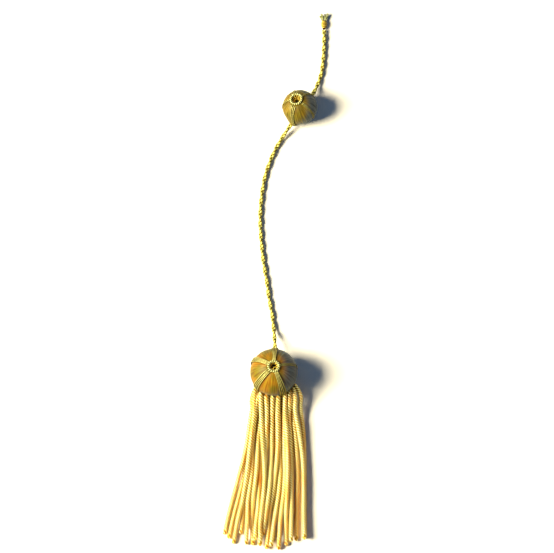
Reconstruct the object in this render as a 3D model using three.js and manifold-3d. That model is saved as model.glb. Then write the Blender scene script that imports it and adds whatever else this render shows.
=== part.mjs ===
// Bullion tassel lying on a flat surface: a silk-wound head ball with a skirt of twisted bullions,
// and a two-ply cord that leaves the head, passes through a slide bead and ends in a whipped, cut end.
// Millimetres, +Z up, +Y from the skirt towards the cord's cut end. The origin is the centre of the
// flat spot that the head ball rests on.

import * as THREE from "three";
import { mergeVertices } from "three/addons/utils/BufferGeometryUtils.js";
import Module from "manifold-3d";

const wasm = await Module();
wasm.setup();

// ---- driving dimensions -------------------------------------------------------------------------

const GAP = 0.3; // clearance between pieces that touch

const HEAD = {
  centre: new THREE.Vector3(0, 0, 14.7),
  radius: 15,
  boreRadius: 1.9,
  boreFloor: -7,
  throatHeight: 11.8,
  throatRadius: 1.9,
  seatRadius: 4.45,
  eyeletRadius: 2.97,
  eyeletThread: 1.18,
  eyeletHeight: 14.96,
  segments: 36,
};

const BEAD = {
  centre: new THREE.Vector3(16.7, 176.2, 10.8),
  radius: 11,
  boreRadius: 1.4,
  boreFloor: 2,
  throatHeight: 9,
  throatRadius: 2.7,
  seatRadius: 4.7,
  eyeletRadius: 3.55,
  eyeletThread: 0.9,
  eyeletHeight: 10.75,
  segments: 32,
};

// The bead has rolled a little on its cord, so its bore leans. Its silk is drawn out to a neck where
// the cord leaves it towards the head. The apex is that of the neck's cone, from the bead's centre.
const BEAD_AXIS = new THREE.Vector3(-0.221, 0.227, 0.948).normalize();
const BEAD_NECK = { tip: new THREE.Vector3(11.67, 167.02, 5), apex: 14.3, overlap: 2, segments: 28 };
const BEAD_CHANNEL_END = new THREE.Vector3(25.2, 186.8, 5);
const BEAD_BAND_TOWARD = new THREE.Vector3(-0.31, -0.951, 0.02); // the band that runs to the neck

const THROAT_TAPER = 2; // height over which a bore widens to its throat
const BALL_STEPS = 15;
const EYELET = { sides: 8, segments: 24 };
const BAND = { thickness: 0.5, lift: 0.04, arcSteps: 14 };
const HEAD_BAND = { width: 3.2, start: 18 };
const BEAD_BAND = { width: 2, mainWidth: 2.9, start: 26.5, end: 128, mainEnd: 86, mainRun: 2.5 };

const CORD = { radius: 1.4, sides: 8, step: 5.8 };
const CHANNEL = { radius: CORD.radius + GAP + 0.25, sides: 12 };
const HEAD_SOCKET = { azimuth: 87, height: 8, depth: 6 };
const WHIPPING = { radius: 1.85, endRadius: 1.45, length: 5, rise: 0.75, fall: 3.75, segments: 16 };
const PLY = { radius: 0.75, length: 4.6, splay: 1.0, drop: 0.85, gap: 0.2, sides: 8, steps: 4 };

const BULLION = { radius: 1.4, sides: 8, steps: 15, lift: 0.02 };
const BULLION_PITCH = 2 * BULLION.radius + 0.5; // least distance between two centre lines
const BULLION_REACH = HEAD.radius + BULLION.radius + GAP + 0.1; // least distance from the ball's centre
const BULLION_FLOOR = BULLION.radius + BULLION.lift; // least height of a centre line
const HEADING = { innerRadius: 7.8, outerRadius: 10.3, height: 6, from: 221, to: 323 };
const SETTLING = { rounds: 460, sink: 0.04, draw: 0.4, straighten: 0.3, hold: 0.5, finish: 0.8 };

const COLOURS = {
  silk: { color: 0xc98a1e, roughness: 0.5, metalness: 0.1 },
  goldThread: { color: 0xe6cf6a, roughness: 0.35, metalness: 0.6 },
  bullion: { color: 0xe2bf3c, roughness: 0.4, metalness: 0.5 },
  cord: { color: 0xd9bb45, roughness: 0.45, metalness: 0.45 },
};

// ---- tables -------------------------------------------------------------------------------------

// Head bands: where each one runs down the ball, and how far from the top, both in degrees. The two
// over the skirt stop above the bullions, and the one over the cord stops at the cord's socket.
const HEAD_BANDS = [
  { azimuth: 87, end: 107 },
  { azimuth: 152, end: 150 },
  { azimuth: 222, end: 103 },
  { azimuth: 293, end: 103 },
  { azimuth: 12, end: 150 },
];

// Three rows of bullions start one above the other under the ball: the distance of each row from
// the ball's upright axis. The ball's underside gives the height.
const ROWS = [11.3, 13.1, 14.9];

// Levels down the skirt, where the table of bullions gives their places across it.
const LEVELS = { neck: -16, shoulder: -32, waist: -49, middle: -65, hip: -82, hem: -98 };

// One line for each bullion: its row, the direction in which it leaves the ball in degrees, its
// place across the skirt at each level, and the place across (end) and along (tip) of its lower end.
const BULLION_COLUMNS = [
  "row", "start", "neck", "shoulder", "waist", "middle", "hip", "hem", "end", "tip",
];
const BULLION_TABLE = [
  [1, 222.5, -13.4, -15.6, -17.6, -21.8, -27.0, -30.4, -31.0, -103.5],
  [0, 216, -11.8, -13.8, -16.1, -18.8, -23.0, -27.8, -28.8, -106.0],
  [2, 226, -11.8, -13.2, -15.2, -16.8, -19.4, -23.8, -25.6, -109.4],
  [0, 230, -9.0, -12.4, -14.8, -16.0, -17.9, -20.9, -20.8, -103.0],
  [1, 237, -9.8, -11.8, -13.6, -14.0, -16.3, -17.0, -17.5, -110.0],
  [1, 250.5, -6.4, -10.0, -11.0, -10.9, -13.9, -13.9, -12.9, -110.4],
  [2, 241, -8.2, -8.2, -6.7, -5.3, -6.3, -9.0, -8.8, -111.0],
  [1, 264, -3.2, -6.0, -8.5, -8.6, -10.2, -12.0, -11.6, -108.0],
  [2, 254, -4.6, -4.3, -5.6, -4.8, -5.6, -7.4, -7.6, -97.0],
  [2, 266.5, -1.2, -1.4, -1.1, -2.4, -3.5, -6.2, -6.8, -104.0],
  [2, 279, 2.2, 2.5, 2.9, 1.4, -1.1, -4.7, -4.5, -113.3],
  [1, 281, 3.8, 5.0, 4.7, 5.1, 2.9, -0.5, -1.8, -112.0],
  [1, 298, 6.9, 6.3, 6.6, 7.1, 5.9, 3.5, 3.1, -113.3],
  [2, 291.5, 5.8, 8.2, 8.9, 9.1, 8.1, 7.8, 8.1, -110.7],
  [2, 304.5, 9.0, 10.3, 10.8, 11.0, 11.0, 11.0, 11.0, -108.8],
  [1, 314, 10.6, 12.6, 14.8, 15.2, 14.5, 14.2, 14.4, -107.5],
  [2, 317.5, 12.4, 14.7, 18.4, 19.2, 18.9, 18.9, 19.6, -107.5],
  [2, 331, 15.8, 19.3, 19.6, 19.6, 19.6, 19.6, 19.8, -106.0],
  [0, 243.5, -5.6, -8.8, -9.4, -12.6, -14.6, -17.4, -17.8, -99.5],
  [0, 257, -2.8, -3.4, -5.4, -5.6, -7.8, -10.0, -9.6, -105.5],
  [0, 272, 0.8, 1.2, 1.2, 1.6, 0.4, -0.6, -1.0, -108.5],
  [0, 289.5, 5.2, 6.4, 7.0, 6.0, 4.6, 3.4, 3.2, -105.0],
  [0, 306, 9.0, 12.0, 12.4, 12.2, 11.6, 11.0, 11.0, -104.5],
];

// The cord's way from its socket in the head, over the surface, up through the slide bead and on to
// its whipping.
const CORD_ROUTE = [
  [0.5, 10.4, 8], [0.72, 14, 8], [0.85, 17.2, 7.8], [0.75, 20.9, 6.7], [0.45, 26, 4.2],
  [0.05, 31, 2.2], [-0.45, 36, 1.5], [-0.95, 41, 1.45], [-2.1, 47, 1.45], [-3.3, 54, 1.45],
  [-4.3, 62.3, 1.45], [-5.6, 69.8, 1.45], [-6.75, 77.7, 1.45], [-7.6, 85.6, 1.45],
  [-8.2, 92.6, 1.45], [-8.65, 101, 1.45], [-8.6, 109, 1.45], [-8, 117.6, 1.45],
  [-6.9, 125.8, 1.45], [-5.3, 133.9, 1.45], [-2.7, 141.8, 1.45], [0.3, 149.1, 1.45],
  [3.9, 155.8, 1.7], [7.5, 161.2, 3.3], [11.1, 166.2, 5], [14.25, 170.75, 5],
  [17.4, 175.3, 5], [20.55, 179.85, 5], [23.4, 184, 4.9], [25.7, 188, 3.7],
  [27.6, 192.6, 2.2], [29.3, 197.2, 1.55], [30.7, 202.5, 1.45], [31.5, 208.7, 1.45],
  [31.95, 215.1, 1.45], [32.2, 221.4, 1.5], [32.25, 226.3, 1.7], [32.2, 229.7, 1.88],
];

// ---- helpers ------------------------------------------------------------------------------------

const tassel = new THREE.Group();

function addPiece(name, geometry, look) {
  const material = new THREE.MeshStandardMaterial(look);
  const mesh = new THREE.Mesh(geometry, material);
  mesh.name = name;
  tassel.add(mesh);
  return mesh;
}

function radians(degrees) {
  return THREE.MathUtils.degToRad(degrees);
}

// A closed three.js geometry as a manifold solid, and back.
function toSolid(geometry) {
  const bare = geometry.clone();
  bare.deleteAttribute("normal");
  bare.deleteAttribute("uv");
  const merged = mergeVertices(bare, 1e-4);
  const vertProperties = new Float32Array(merged.attributes.position.array);
  const triVerts = new Uint32Array(merged.index.array);
  return new wasm.Manifold(new wasm.Mesh({ numProp: 3, vertProperties, triVerts }));
}

function toGeometry(solid) {
  const mesh = solid.getMesh();
  const geometry = new THREE.BufferGeometry();
  geometry.setAttribute("position", new THREE.BufferAttribute(new Float32Array(mesh.vertProperties), 3));
  geometry.setIndex(new THREE.BufferAttribute(new Uint32Array(mesh.triVerts), 1));
  return geometry;
}

// A round bar between two points, as a cutter.
function barBetween(from, to, radius, sides) {
  const length = from.distanceTo(to);
  const bar = new THREE.CylinderGeometry(radius, radius, length, sides);
  const direction = to.clone().sub(from).normalize();
  bar.applyQuaternion(new THREE.Quaternion().setFromUnitVectors(new THREE.Vector3(0, 1, 0), direction));
  const middle = from.clone().add(to).multiplyScalar(0.5);
  return bar.translate(middle.x, middle.y, middle.z);
}

// A lathe turns about Y, so its axis is laid over the given one.
function turned(profile, segments, axis, centre) {
  const geometry = new THREE.LatheGeometry(profile, segments);
  geometry.applyQuaternion(new THREE.Quaternion().setFromUnitVectors(new THREE.Vector3(0, 1, 0), axis));
  return geometry.translate(centre.x, centre.y, centre.z);
}

// A tube of constant section along a smooth curve through the points.
function tube(points, radius, sides, steps) {
  const section = new THREE.Shape();
  for (let side = 0; side < sides; side += 1) {
    const turn = (2 * Math.PI * side) / sides;
    const corner = [radius * Math.cos(turn), radius * Math.sin(turn)];
    if (side === 0) section.moveTo(...corner);
    else section.lineTo(...corner);
  }
  section.closePath();
  const extrudePath = new THREE.CatmullRomCurve3(points);
  return new THREE.ExtrudeGeometry(section, { steps, extrudePath, bevelEnabled: false });
}

// ---- balls, eyelets and bands -------------------------------------------------------------------

// Half section of a wound ball: bore, throat, seat of the eyelet, then round to the lower pole.
function ballProfile(ball, lowest) {
  const profile = [
    new THREE.Vector2(0, ball.boreFloor),
    new THREE.Vector2(ball.boreRadius, ball.boreFloor),
    new THREE.Vector2(ball.throatRadius, ball.throatHeight),
  ];
  if (ball.throatRadius > ball.boreRadius) {
    profile.splice(2, 0, new THREE.Vector2(ball.boreRadius, ball.throatHeight - THROAT_TAPER));
  }
  const first = Math.asin(ball.seatRadius / ball.radius);
  const last = Math.acos(lowest / ball.radius);
  for (let step = 0; step <= BALL_STEPS; step += 1) {
    const polar = first + ((last - first) * step) / BALL_STEPS;
    profile.push(new THREE.Vector2(ball.radius * Math.sin(polar), ball.radius * Math.cos(polar)));
  }
  const end = profile[profile.length - 1];
  if (end.x > 1e-6) profile.push(new THREE.Vector2(0, end.y));
  else end.x = 0;
  return profile.reverse();
}

function eyelet(ball, axis) {
  const profile = [];
  for (let step = 0; step <= EYELET.sides; step += 1) {
    const turn = (2 * Math.PI * (step % EYELET.sides)) / EYELET.sides;
    const across = ball.eyeletRadius + ball.eyeletThread * Math.cos(turn);
    profile.push(new THREE.Vector2(across, ball.eyeletHeight + ball.eyeletThread * Math.sin(turn)));
  }
  return turned(profile, EYELET.segments, axis, ball.centre);
}

function headBall() {
  const up = new THREE.Vector3(0, 0, 1);
  const ball = turned(ballProfile(HEAD, -HEAD.centre.z), HEAD.segments, up, HEAD.centre);
  const azimuth = radians(HEAD_SOCKET.azimuth);
  const outward = new THREE.Vector3(Math.cos(azimuth), Math.sin(azimuth), 0);
  const mouth = outward.clone().multiplyScalar(HEAD.radius + 2).setZ(HEAD_SOCKET.height);
  const rim = Math.sqrt(HEAD.radius ** 2 - (HEAD_SOCKET.height - HEAD.centre.z) ** 2);
  const floor = outward.clone().multiplyScalar(rim - HEAD_SOCKET.depth).setZ(HEAD_SOCKET.height);
  const socket = toSolid(barBetween(floor, mouth, CHANNEL.radius, CHANNEL.sides));
  return toGeometry(toSolid(ball).subtract(socket));
}

// The bead's neck is the cone that just touches the ball, cut off square at its tip.
function beadNeck() {
  const along = BEAD_NECK.tip.clone().sub(BEAD.centre);
  const length = along.length();
  const touch = (BEAD.radius ** 2) / BEAD_NECK.apex;
  const touchRadius = Math.sqrt(BEAD.radius ** 2 - touch ** 2) - 0.02;
  const tipRadius = (touchRadius * (BEAD_NECK.apex - length)) / (BEAD_NECK.apex - touch);
  const profile = [
    new THREE.Vector2(0, touch - BEAD_NECK.overlap),
    new THREE.Vector2(touchRadius - 1, touch - BEAD_NECK.overlap),
    new THREE.Vector2(touchRadius, touch),
    new THREE.Vector2(tipRadius, length),
    new THREE.Vector2(0, length),
  ];
  return turned(profile, BEAD_NECK.segments, along.normalize(), BEAD.centre);
}

function beadBall() {
  const ball = toSolid(turned(ballProfile(BEAD, -BEAD.radius), BEAD.segments, BEAD_AXIS, BEAD.centre));
  const neck = toSolid(beadNeck());
  const direction = BEAD_CHANNEL_END.clone().sub(BEAD_NECK.tip).normalize();
  const before = BEAD_NECK.tip.clone().addScaledVector(direction, -4);
  const channel = toSolid(barBetween(before, BEAD_CHANNEL_END, CHANNEL.radius, CHANNEL.sides));
  const size = 4 * BEAD.radius;
  const ground = new THREE.BoxGeometry(size, size, size);
  ground.translate(BEAD.centre.x, BEAD.centre.y, -size / 2);
  return toGeometry(ball.add(neck).subtract(channel).subtract(toSolid(ground)));
}

// A band in the plane of the axis and the given direction: an arc a little off the ball, then, if
// run is given, straight on along the neck.
function band(ball, axis, toward, { start, end, width, run = 0 }) {
  const inner = ball.radius + GAP + BAND.lift;
  const outer = inner + BAND.thickness;
  const rim = (radius, polar) => [radius * Math.sin(radians(polar)), radius * Math.cos(radians(polar))];
  const outline = [];
  for (let step = 0; step <= BAND.arcSteps; step += 1) {
    outline.push(rim(outer, start + ((end - start) * step) / BAND.arcSteps));
  }
  if (run > 0) {
    const onward = [Math.cos(radians(end)), -Math.sin(radians(end))];
    for (const radius of [outer, inner]) {
      const [across, along] = rim(radius, end);
      outline.push([across + run * onward[0], along + run * onward[1]]);
    }
  }
  for (let step = BAND.arcSteps; step >= 0; step -= 1) {
    outline.push(rim(inner, start + ((end - start) * step) / BAND.arcSteps));
  }
  const shape = new THREE.Shape(outline.map(([across, along]) => new THREE.Vector2(across, along)));
  const strip = new THREE.ExtrudeGeometry(shape, { depth: width, steps: 1, bevelEnabled: false });
  strip.translate(0, 0, -width / 2);
  const outward = toward.clone().addScaledVector(axis, -toward.dot(axis)).normalize();
  const basis = new THREE.Matrix4().makeBasis(outward, axis, outward.clone().cross(axis));
  strip.applyMatrix4(basis);
  return strip.translate(ball.centre.x, ball.centre.y, ball.centre.z);
}

function addHeadBands() {
  const up = new THREE.Vector3(0, 0, 1);
  HEAD_BANDS.forEach(({ azimuth, end }, index) => {
    const toward = new THREE.Vector3(Math.cos(radians(azimuth)), Math.sin(radians(azimuth)), 0);
    const strip = band(HEAD, up, toward, { start: HEAD_BAND.start, end, width: HEAD_BAND.width });
    addPiece(`head_band_${index + 1}`, strip, COLOURS.goldThread);
  });
}

// The first bead band runs down the neck to the cord, and the others stand a fifth of a turn apart.
function addBeadBands() {
  for (let index = 0; index < 5; index += 1) {
    const toward = BEAD_BAND_TOWARD.clone().applyAxisAngle(BEAD_AXIS, (2 * Math.PI * index) / 5);
    const size = index === 0
      ? { start: BEAD_BAND.start, end: BEAD_BAND.mainEnd, width: BEAD_BAND.mainWidth, run: BEAD_BAND.mainRun }
      : { start: BEAD_BAND.start, end: BEAD_BAND.end, width: BEAD_BAND.width };
    addPiece(`bead_band_${index + 1}`, band(BEAD, BEAD_AXIS, toward, size), COLOURS.goldThread);
  }
}

// ---- skirt --------------------------------------------------------------------------------------

// The heading is a curved strip under the ball, hollowed on top where the ball sits over it.
function skirtHeading() {
  const shape = new THREE.Shape();
  const from = radians(HEADING.from);
  const to = radians(HEADING.to);
  shape.absarc(0, 0, HEADING.outerRadius, from, to, false);
  shape.absarc(0, 0, HEADING.innerRadius, to, from, true);
  const size = { depth: HEADING.height, bevelEnabled: false, curveSegments: 16 };
  const strip = new THREE.ExtrudeGeometry(shape, size);
  const ball = new THREE.SphereGeometry(HEAD.radius + GAP + 0.05, 40, 28);
  ball.translate(HEAD.centre.x, HEAD.centre.y, HEAD.centre.z);
  return toGeometry(toSolid(strip).subtract(toSolid(ball)));
}

// Height at which a bullion lies against the underside of the ball, at a distance from its axis.
function heightUnderBall(distance) {
  return HEAD.centre.z - Math.sqrt(Math.max(BULLION_REACH ** 2 - distance ** 2, 0));
}

// Where a bullion should lie across the skirt, at a place along it.
function wantedAcross(bullion, start, along) {
  const places = [[start.y, start.x]];
  for (const [level, y] of Object.entries(LEVELS)) {
    if (y < start.y - 1 && y > bullion.tip) places.push([y, bullion[level]]);
  }
  places.push([bullion.tip, bullion.end]);
  for (let index = 1; index < places.length; index += 1) {
    const [y0, x0] = places[index - 1];
    const [y1, x1] = places[index];
    if (along >= y1) return x0 + ((x1 - x0) * (y0 - along)) / (y0 - y1);
  }
  return bullion.end;
}

// A bullion's centre line before it settles: even steps from the ball to its tip, each row of
// bullions one pitch above the last.
function layOut(bullion) {
  const azimuth = radians(bullion.start);
  const distance = ROWS[bullion.row];
  const start = new THREE.Vector3(distance * Math.cos(azimuth), distance * Math.sin(azimuth), 0);
  start.z = Math.max(heightUnderBall(distance), BULLION_FLOOR);
  start.wanted = start.x;
  start.seat = start.z;
  const line = [start];
  for (let step = 1; step <= BULLION.steps; step += 1) {
    const y = start.y + ((bullion.tip - start.y) * step) / BULLION.steps;
    const z = BULLION_FLOOR + bullion.row * (BULLION_PITCH + 0.1);
    const point = new THREE.Vector3(wantedAcross(bullion, start, y), y, z);
    point.wanted = point.x;
    line.push(point);
  }
  smooth(line);
  return line;
}

// Rounds the corners of a bullion's wanted places at the levels of the table.
function smooth(line) {
  for (let pass = 0; pass < 2; pass += 1) {
    for (let index = 1; index < line.length - 1; index += 1) {
      const between = (line[index - 1].wanted + line[index + 1].wanted) / 2;
      line[index].wanted += 0.5 * (between - line[index].wanted);
    }
  }
}

// The point of a centre line at a place along the skirt, with the two points it lies between.
function pointAt(line, along) {
  if (along > line[0].y || along < line[line.length - 1].y) return null;
  const step = (line[0].y - line[line.length - 1].y) / (line.length - 1);
  const index = Math.min(Math.floor((line[0].y - along) / step), line.length - 2);
  const part = (line[index].y - along) / step;
  const [above, below] = [line[index], line[index + 1]];
  const x = above.x + (below.x - above.x) * part;
  const z = above.z + (below.z - above.z) * part;
  return { x, z, above, below, part };
}

// Pushes a point and a neighbouring centre line apart until they are a pitch from each other.
function pushApart(point, line) {
  const other = pointAt(line, point.y);
  if (!other) return;
  const across = point.x - other.x;
  const up = point.z - other.z;
  const distance = Math.hypot(across, up);
  if (distance >= BULLION_PITCH) return;
  const push = (0.5 * (BULLION_PITCH - distance)) / Math.max(distance, 1e-3);
  point.x += across * push;
  point.z += up * push;
  for (const [end, share] of [[other.above, 1 - other.part], [other.below, other.part]]) {
    end.x -= across * push * share;
    end.z -= up * push * share;
  }
}

// Keeps a point above the surface that the tassel lies on, and outside the ball.
function keepClear(point) {
  point.z = Math.max(point.z, BULLION_FLOOR);
  const away = point.clone().sub(HEAD.centre);
  if (away.length() >= BULLION_REACH) return;
  const across = Math.sqrt(Math.max(BULLION_REACH ** 2 - away.y ** 2, 0));
  const scale = across / Math.max(Math.hypot(away.x, away.z), 1e-3);
  point.x = HEAD.centre.x + away.x * scale;
  point.z = HEAD.centre.z + away.z * scale;
}

// Lets the bullions sink onto the surface and onto each other: each point is drawn to its place
// across, down, and into line with its neighbours, less and less as the rounds go by, then pushed
// clear of what it meets.
function settle(lines) {
  for (let round = 0; round < SETTLING.rounds; round += 1) {
    const ease = Math.max(0, 1 - round / (SETTLING.finish * SETTLING.rounds));
    for (const line of lines) {
      const [start, ...rest] = line;
      start.x += SETTLING.hold * ease * (start.wanted - start.x);
      start.z += SETTLING.hold * ease * (start.seat - start.z);
      rest.forEach((point, index) => {
        const previous = line[index];
        const next = line[index + 2];
        point.x += SETTLING.draw * ease * (point.wanted - point.x);
        point.z -= SETTLING.sink * ease;
        if (!next) return;
        point.x += SETTLING.straighten * ease * ((previous.x + next.x) / 2 - point.x);
        point.z += SETTLING.straighten * ease * ((previous.z + next.z) / 2 - point.z);
      });
    }
    for (const line of lines) {
      for (const other of lines) {
        if (other !== line) line.forEach((point) => pushApart(point, other));
      }
    }
    for (const line of lines) line.forEach(keepClear);
  }
}

function addBullions() {
  const rows = BULLION_TABLE.map((row) => {
    return Object.fromEntries(BULLION_COLUMNS.map((column, index) => [column, row[index]]));
  });
  const lines = rows.map(layOut);
  settle(lines);
  lines.forEach((line, index) => {
    const name = `bullion_${String(index + 1).padStart(2, "0")}`;
    addPiece(name, tube(line, BULLION.radius, BULLION.sides, BULLION.steps), COLOURS.bullion);
  });
}

// ---- cord ---------------------------------------------------------------------------------------

function addCord() {
  const points = CORD_ROUTE.map((point) => new THREE.Vector3(...point));
  const length = new THREE.CatmullRomCurve3(points).getLength();
  addPiece("cord", tube(points, CORD.radius, CORD.sides, Math.round(length / CORD.step)), COLOURS.cord);
}

// The whipping is a short barrel in line with the cord's last stretch, and the two plies splay out
// of its far end.
function addCordEnd() {
  const last = new THREE.Vector3(...CORD_ROUTE[CORD_ROUTE.length - 1]);
  const base = last.clone().add(new THREE.Vector3(0, GAP + 0.1, 0));
  const profile = [
    new THREE.Vector2(0, 0),
    new THREE.Vector2(WHIPPING.endRadius, 0),
    new THREE.Vector2(WHIPPING.radius, WHIPPING.rise),
    new THREE.Vector2(WHIPPING.radius, WHIPPING.fall),
    new THREE.Vector2(WHIPPING.endRadius, WHIPPING.length),
    new THREE.Vector2(0, WHIPPING.length),
  ];
  const forward = new THREE.Vector3(0, 1, 0);
  addPiece("cord_whipping", turned(profile, WHIPPING.segments, forward, base), COLOURS.goldThread);
  const root = base.clone().add(new THREE.Vector3(0, WHIPPING.length + GAP + 0.15, 0));
  for (const [name, side] of [["cord_ply_left", -1], ["cord_ply_right", 1]]) {
    const from = root.clone().add(new THREE.Vector3(side * (PLY.radius + PLY.gap), 0, -0.2));
    const points = [0, 0.3, 0.65, 1].map((part) => {
      const out = side * PLY.splay * part * part;
      return from.clone().add(new THREE.Vector3(out, PLY.length * part, -PLY.drop * part));
    });
    addPiece(name, tube(points, PLY.radius, PLY.sides, PLY.steps), COLOURS.cord);
  }
}

// ---- assembly -----------------------------------------------------------------------------------

addPiece("head_ball", headBall(), COLOURS.silk);
addPiece("head_eyelet", eyelet(HEAD, new THREE.Vector3(0, 0, 1)), COLOURS.goldThread);
addHeadBands();
addPiece("skirt_heading", skirtHeading(), COLOURS.goldThread);
addBullions();
addPiece("bead_ball", beadBall(), COLOURS.silk);
addPiece("bead_eyelet", eyelet(BEAD, BEAD_AXIS), COLOURS.goldThread);
addBeadBands();
addCord();
addCordEnd();

export default tassel;
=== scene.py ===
"""Looks of a bullion tassel that lies on a table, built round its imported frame.

Each part of the tassel is a class that works its surfaces out with numpy from the frame's own nodes
and dresses them in one of the thread finishes. Lengths inside the classes are in millimetres unless a
field says otherwise, and meshes are in metres.
"""

import logging
from abc import ABC, abstractmethod
from dataclasses import dataclass
from enum import Enum

import bpy
import numpy as np
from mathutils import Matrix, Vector


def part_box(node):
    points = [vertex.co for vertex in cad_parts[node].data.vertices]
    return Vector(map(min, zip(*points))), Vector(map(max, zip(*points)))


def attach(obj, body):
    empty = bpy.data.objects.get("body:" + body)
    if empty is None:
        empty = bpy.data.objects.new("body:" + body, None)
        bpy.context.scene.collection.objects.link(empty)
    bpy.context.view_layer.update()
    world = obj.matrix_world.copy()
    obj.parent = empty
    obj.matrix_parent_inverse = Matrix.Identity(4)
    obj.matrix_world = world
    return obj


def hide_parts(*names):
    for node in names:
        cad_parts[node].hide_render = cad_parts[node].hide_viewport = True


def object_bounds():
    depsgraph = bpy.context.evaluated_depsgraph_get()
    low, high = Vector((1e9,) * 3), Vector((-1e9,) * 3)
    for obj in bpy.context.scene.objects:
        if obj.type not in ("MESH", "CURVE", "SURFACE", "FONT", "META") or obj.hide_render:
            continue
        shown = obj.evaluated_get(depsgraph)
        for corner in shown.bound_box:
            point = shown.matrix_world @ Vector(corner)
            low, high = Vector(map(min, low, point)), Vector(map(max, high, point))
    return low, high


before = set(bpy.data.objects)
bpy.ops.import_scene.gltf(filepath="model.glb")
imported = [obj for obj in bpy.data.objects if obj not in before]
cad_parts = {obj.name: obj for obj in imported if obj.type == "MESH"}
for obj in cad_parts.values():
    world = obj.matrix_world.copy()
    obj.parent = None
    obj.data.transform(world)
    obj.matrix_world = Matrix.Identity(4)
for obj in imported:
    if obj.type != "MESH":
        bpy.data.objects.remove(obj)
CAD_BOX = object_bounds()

LOG = logging.getLogger("tassel")
Array = np.ndarray
Triple = tuple[float, float, float]
Section = tuple[tuple[float, float], ...]
Piece = bpy.types.Object
Material = bpy.types.Material
Tree = bpy.types.NodeTree
Node = bpy.types.Node
Socket = bpy.types.NodeSocket

MM = 0.001
TAU = 2 * np.pi
UP = np.array([0.0, 0.0, 1.0])
FORWARD = np.array([0.0, 1.0, 0.0])
# Fine threads keep this much air over the table, in millimetres.
TABLE_GAP = 0.02
# Sockets of a Mix node that mixes colours: both inputs and the result.
MIX_A, MIX_B, MIXED = 6, 7, 2


class Slot(Enum):
    """Material slots of the record."""

    SILK = "silk"
    GOLD_THREAD = "gold_thread"
    BULLION = "bullion"
    CORD = "cord"


class Lay(Enum):
    """Which way the strands of a twisted cord climb round it."""

    S_TWIST = 1
    Z_TWIST = -1


# ---- arrays -------------------------------------------------------------------------------------


def unit(vectors: Array) -> Array:
    """Scales vectors, held along the last axis, to length one."""
    return vectors / np.maximum(np.linalg.norm(vectors, axis=-1, keepdims=True), 1e-12)


def run_of(line: Array) -> Array:
    """Length of a line from its first point to each of its points."""
    return np.concatenate([[0.0], np.cumsum(np.linalg.norm(np.diff(line, axis=0), axis=1))])


def turns(count: int) -> Array:
    """Even places on a turn, from 0 up to but not at 1."""
    return np.linspace(0, 1, count, endpoint=False)


def ease(value: Array) -> Array:
    """A smooth step from 0 to 1 while the value goes from 0 to 1: 3 v^2 - 2 v^3."""
    inside = np.clip(value, 0, 1)
    return inside**2 * (3 - 2 * inside)


def dome(value: Array, least: float) -> Array:
    """A quarter circle's height, sqrt(1 - (1 - v)^2), with v held between a least value and 1."""
    return np.sqrt(1 - (1 - np.clip(value, least, 1)) ** 2)


def rib(phase: Array) -> Array:
    """Height of a thread wound side by side, 1 on its crown and 0 in the groove between turns.

    One turn of the thread takes a phase of 2 pi. With t from -1 to 1 across the thread the height is
    1 - t^2.
    """
    across = 2 * np.mod(phase / TAU, 1.0) - 1
    return 1 - across**2


def circle(turn: Array, first: Array, second: Array) -> Array:
    """Directions round a circle: cos turn * first + sin turn * second."""
    return np.cos(turn)[..., None] * first + np.sin(turn)[..., None] * second


def in_space(section: Array) -> Array:
    """A flat section's points as points in space, with a third place of zero."""
    return np.column_stack([section, np.zeros(len(section))])


def on_table(points: Array, least: float = 0.0) -> Array:
    """The same points, with none lower than a least height over the table."""
    return np.concatenate([points[..., :2], np.maximum(points[..., 2:], least)], axis=-1)


def box_of(node: str) -> tuple[Array, Array]:
    """Low and high corner of a frame node's box, in millimetres."""
    low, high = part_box(node)
    return np.array(low) / MM, np.array(high) / MM


def wander(rng: np.random.Generator, at: Array, length: float, knots: int, spread: float) -> Array:
    """Random values of a given spread at even knots along a length, read off straight in between."""
    return np.interp(at, np.linspace(0, length, knots), rng.normal(0, spread, knots))


def waves(rng: np.random.Generator, places: Array, lowest: int, highest: int) -> Array:
    """A smooth random wave that closes on itself after one turn.

    It is a sum of cosines of random strength and phase at every whole number of waves a turn from
    lowest to highest, scaled to a spread of one.

    Args:
        rng: Source of the random strengths and phases.
        places: Places on the turn, from 0 to 1.
        lowest: Least number of waves a turn.
        highest: Greatest number of waves a turn.

    Returns:
        The wave at each place.
    """
    number = np.arange(lowest, highest + 1)
    strength = rng.normal(size=number.size)
    phase = rng.uniform(0, TAU, number.size)
    wave = np.cos(TAU * places[..., None] * number + phase) @ strength
    return wave / np.sqrt(0.5 * np.sum(strength**2))


def spline(knots: Array, count: int) -> Array:
    """A smooth curve through its knots, at even steps of length.

    Between knots b and c, with a before them and d after them, the point at t is
    0.5 (2b + (c - a) t + (2a - 5b + 4c - d) t^2 + (3b - a - 3c + d) t^3).

    Args:
        knots: Points that the curve passes through, one a row.
        count: Number of points wanted.

    Returns:
        The curve's points.
    """
    steps_a_knot = 24
    padded = np.vstack([2 * knots[0] - knots[1], knots, 2 * knots[-1] - knots[-2]])
    span = np.linspace(0, len(knots) - 1, steps_a_knot * len(knots))
    index = np.minimum(span.astype(int), len(knots) - 2)
    t = (span - index)[:, None]
    a, b, c, d = (padded[index + step] for step in range(4))
    fine = b + 0.5 * ((c - a) * t + (2 * a - 5 * b + 4 * c - d) * t**2 + (3 * b - a - 3 * c + d) * t**3)
    run = run_of(fine)
    at = np.linspace(0, run[-1], count)
    return np.stack([np.interp(at, run, fine[:, axis]) for axis in range(3)], axis=1)


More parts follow.
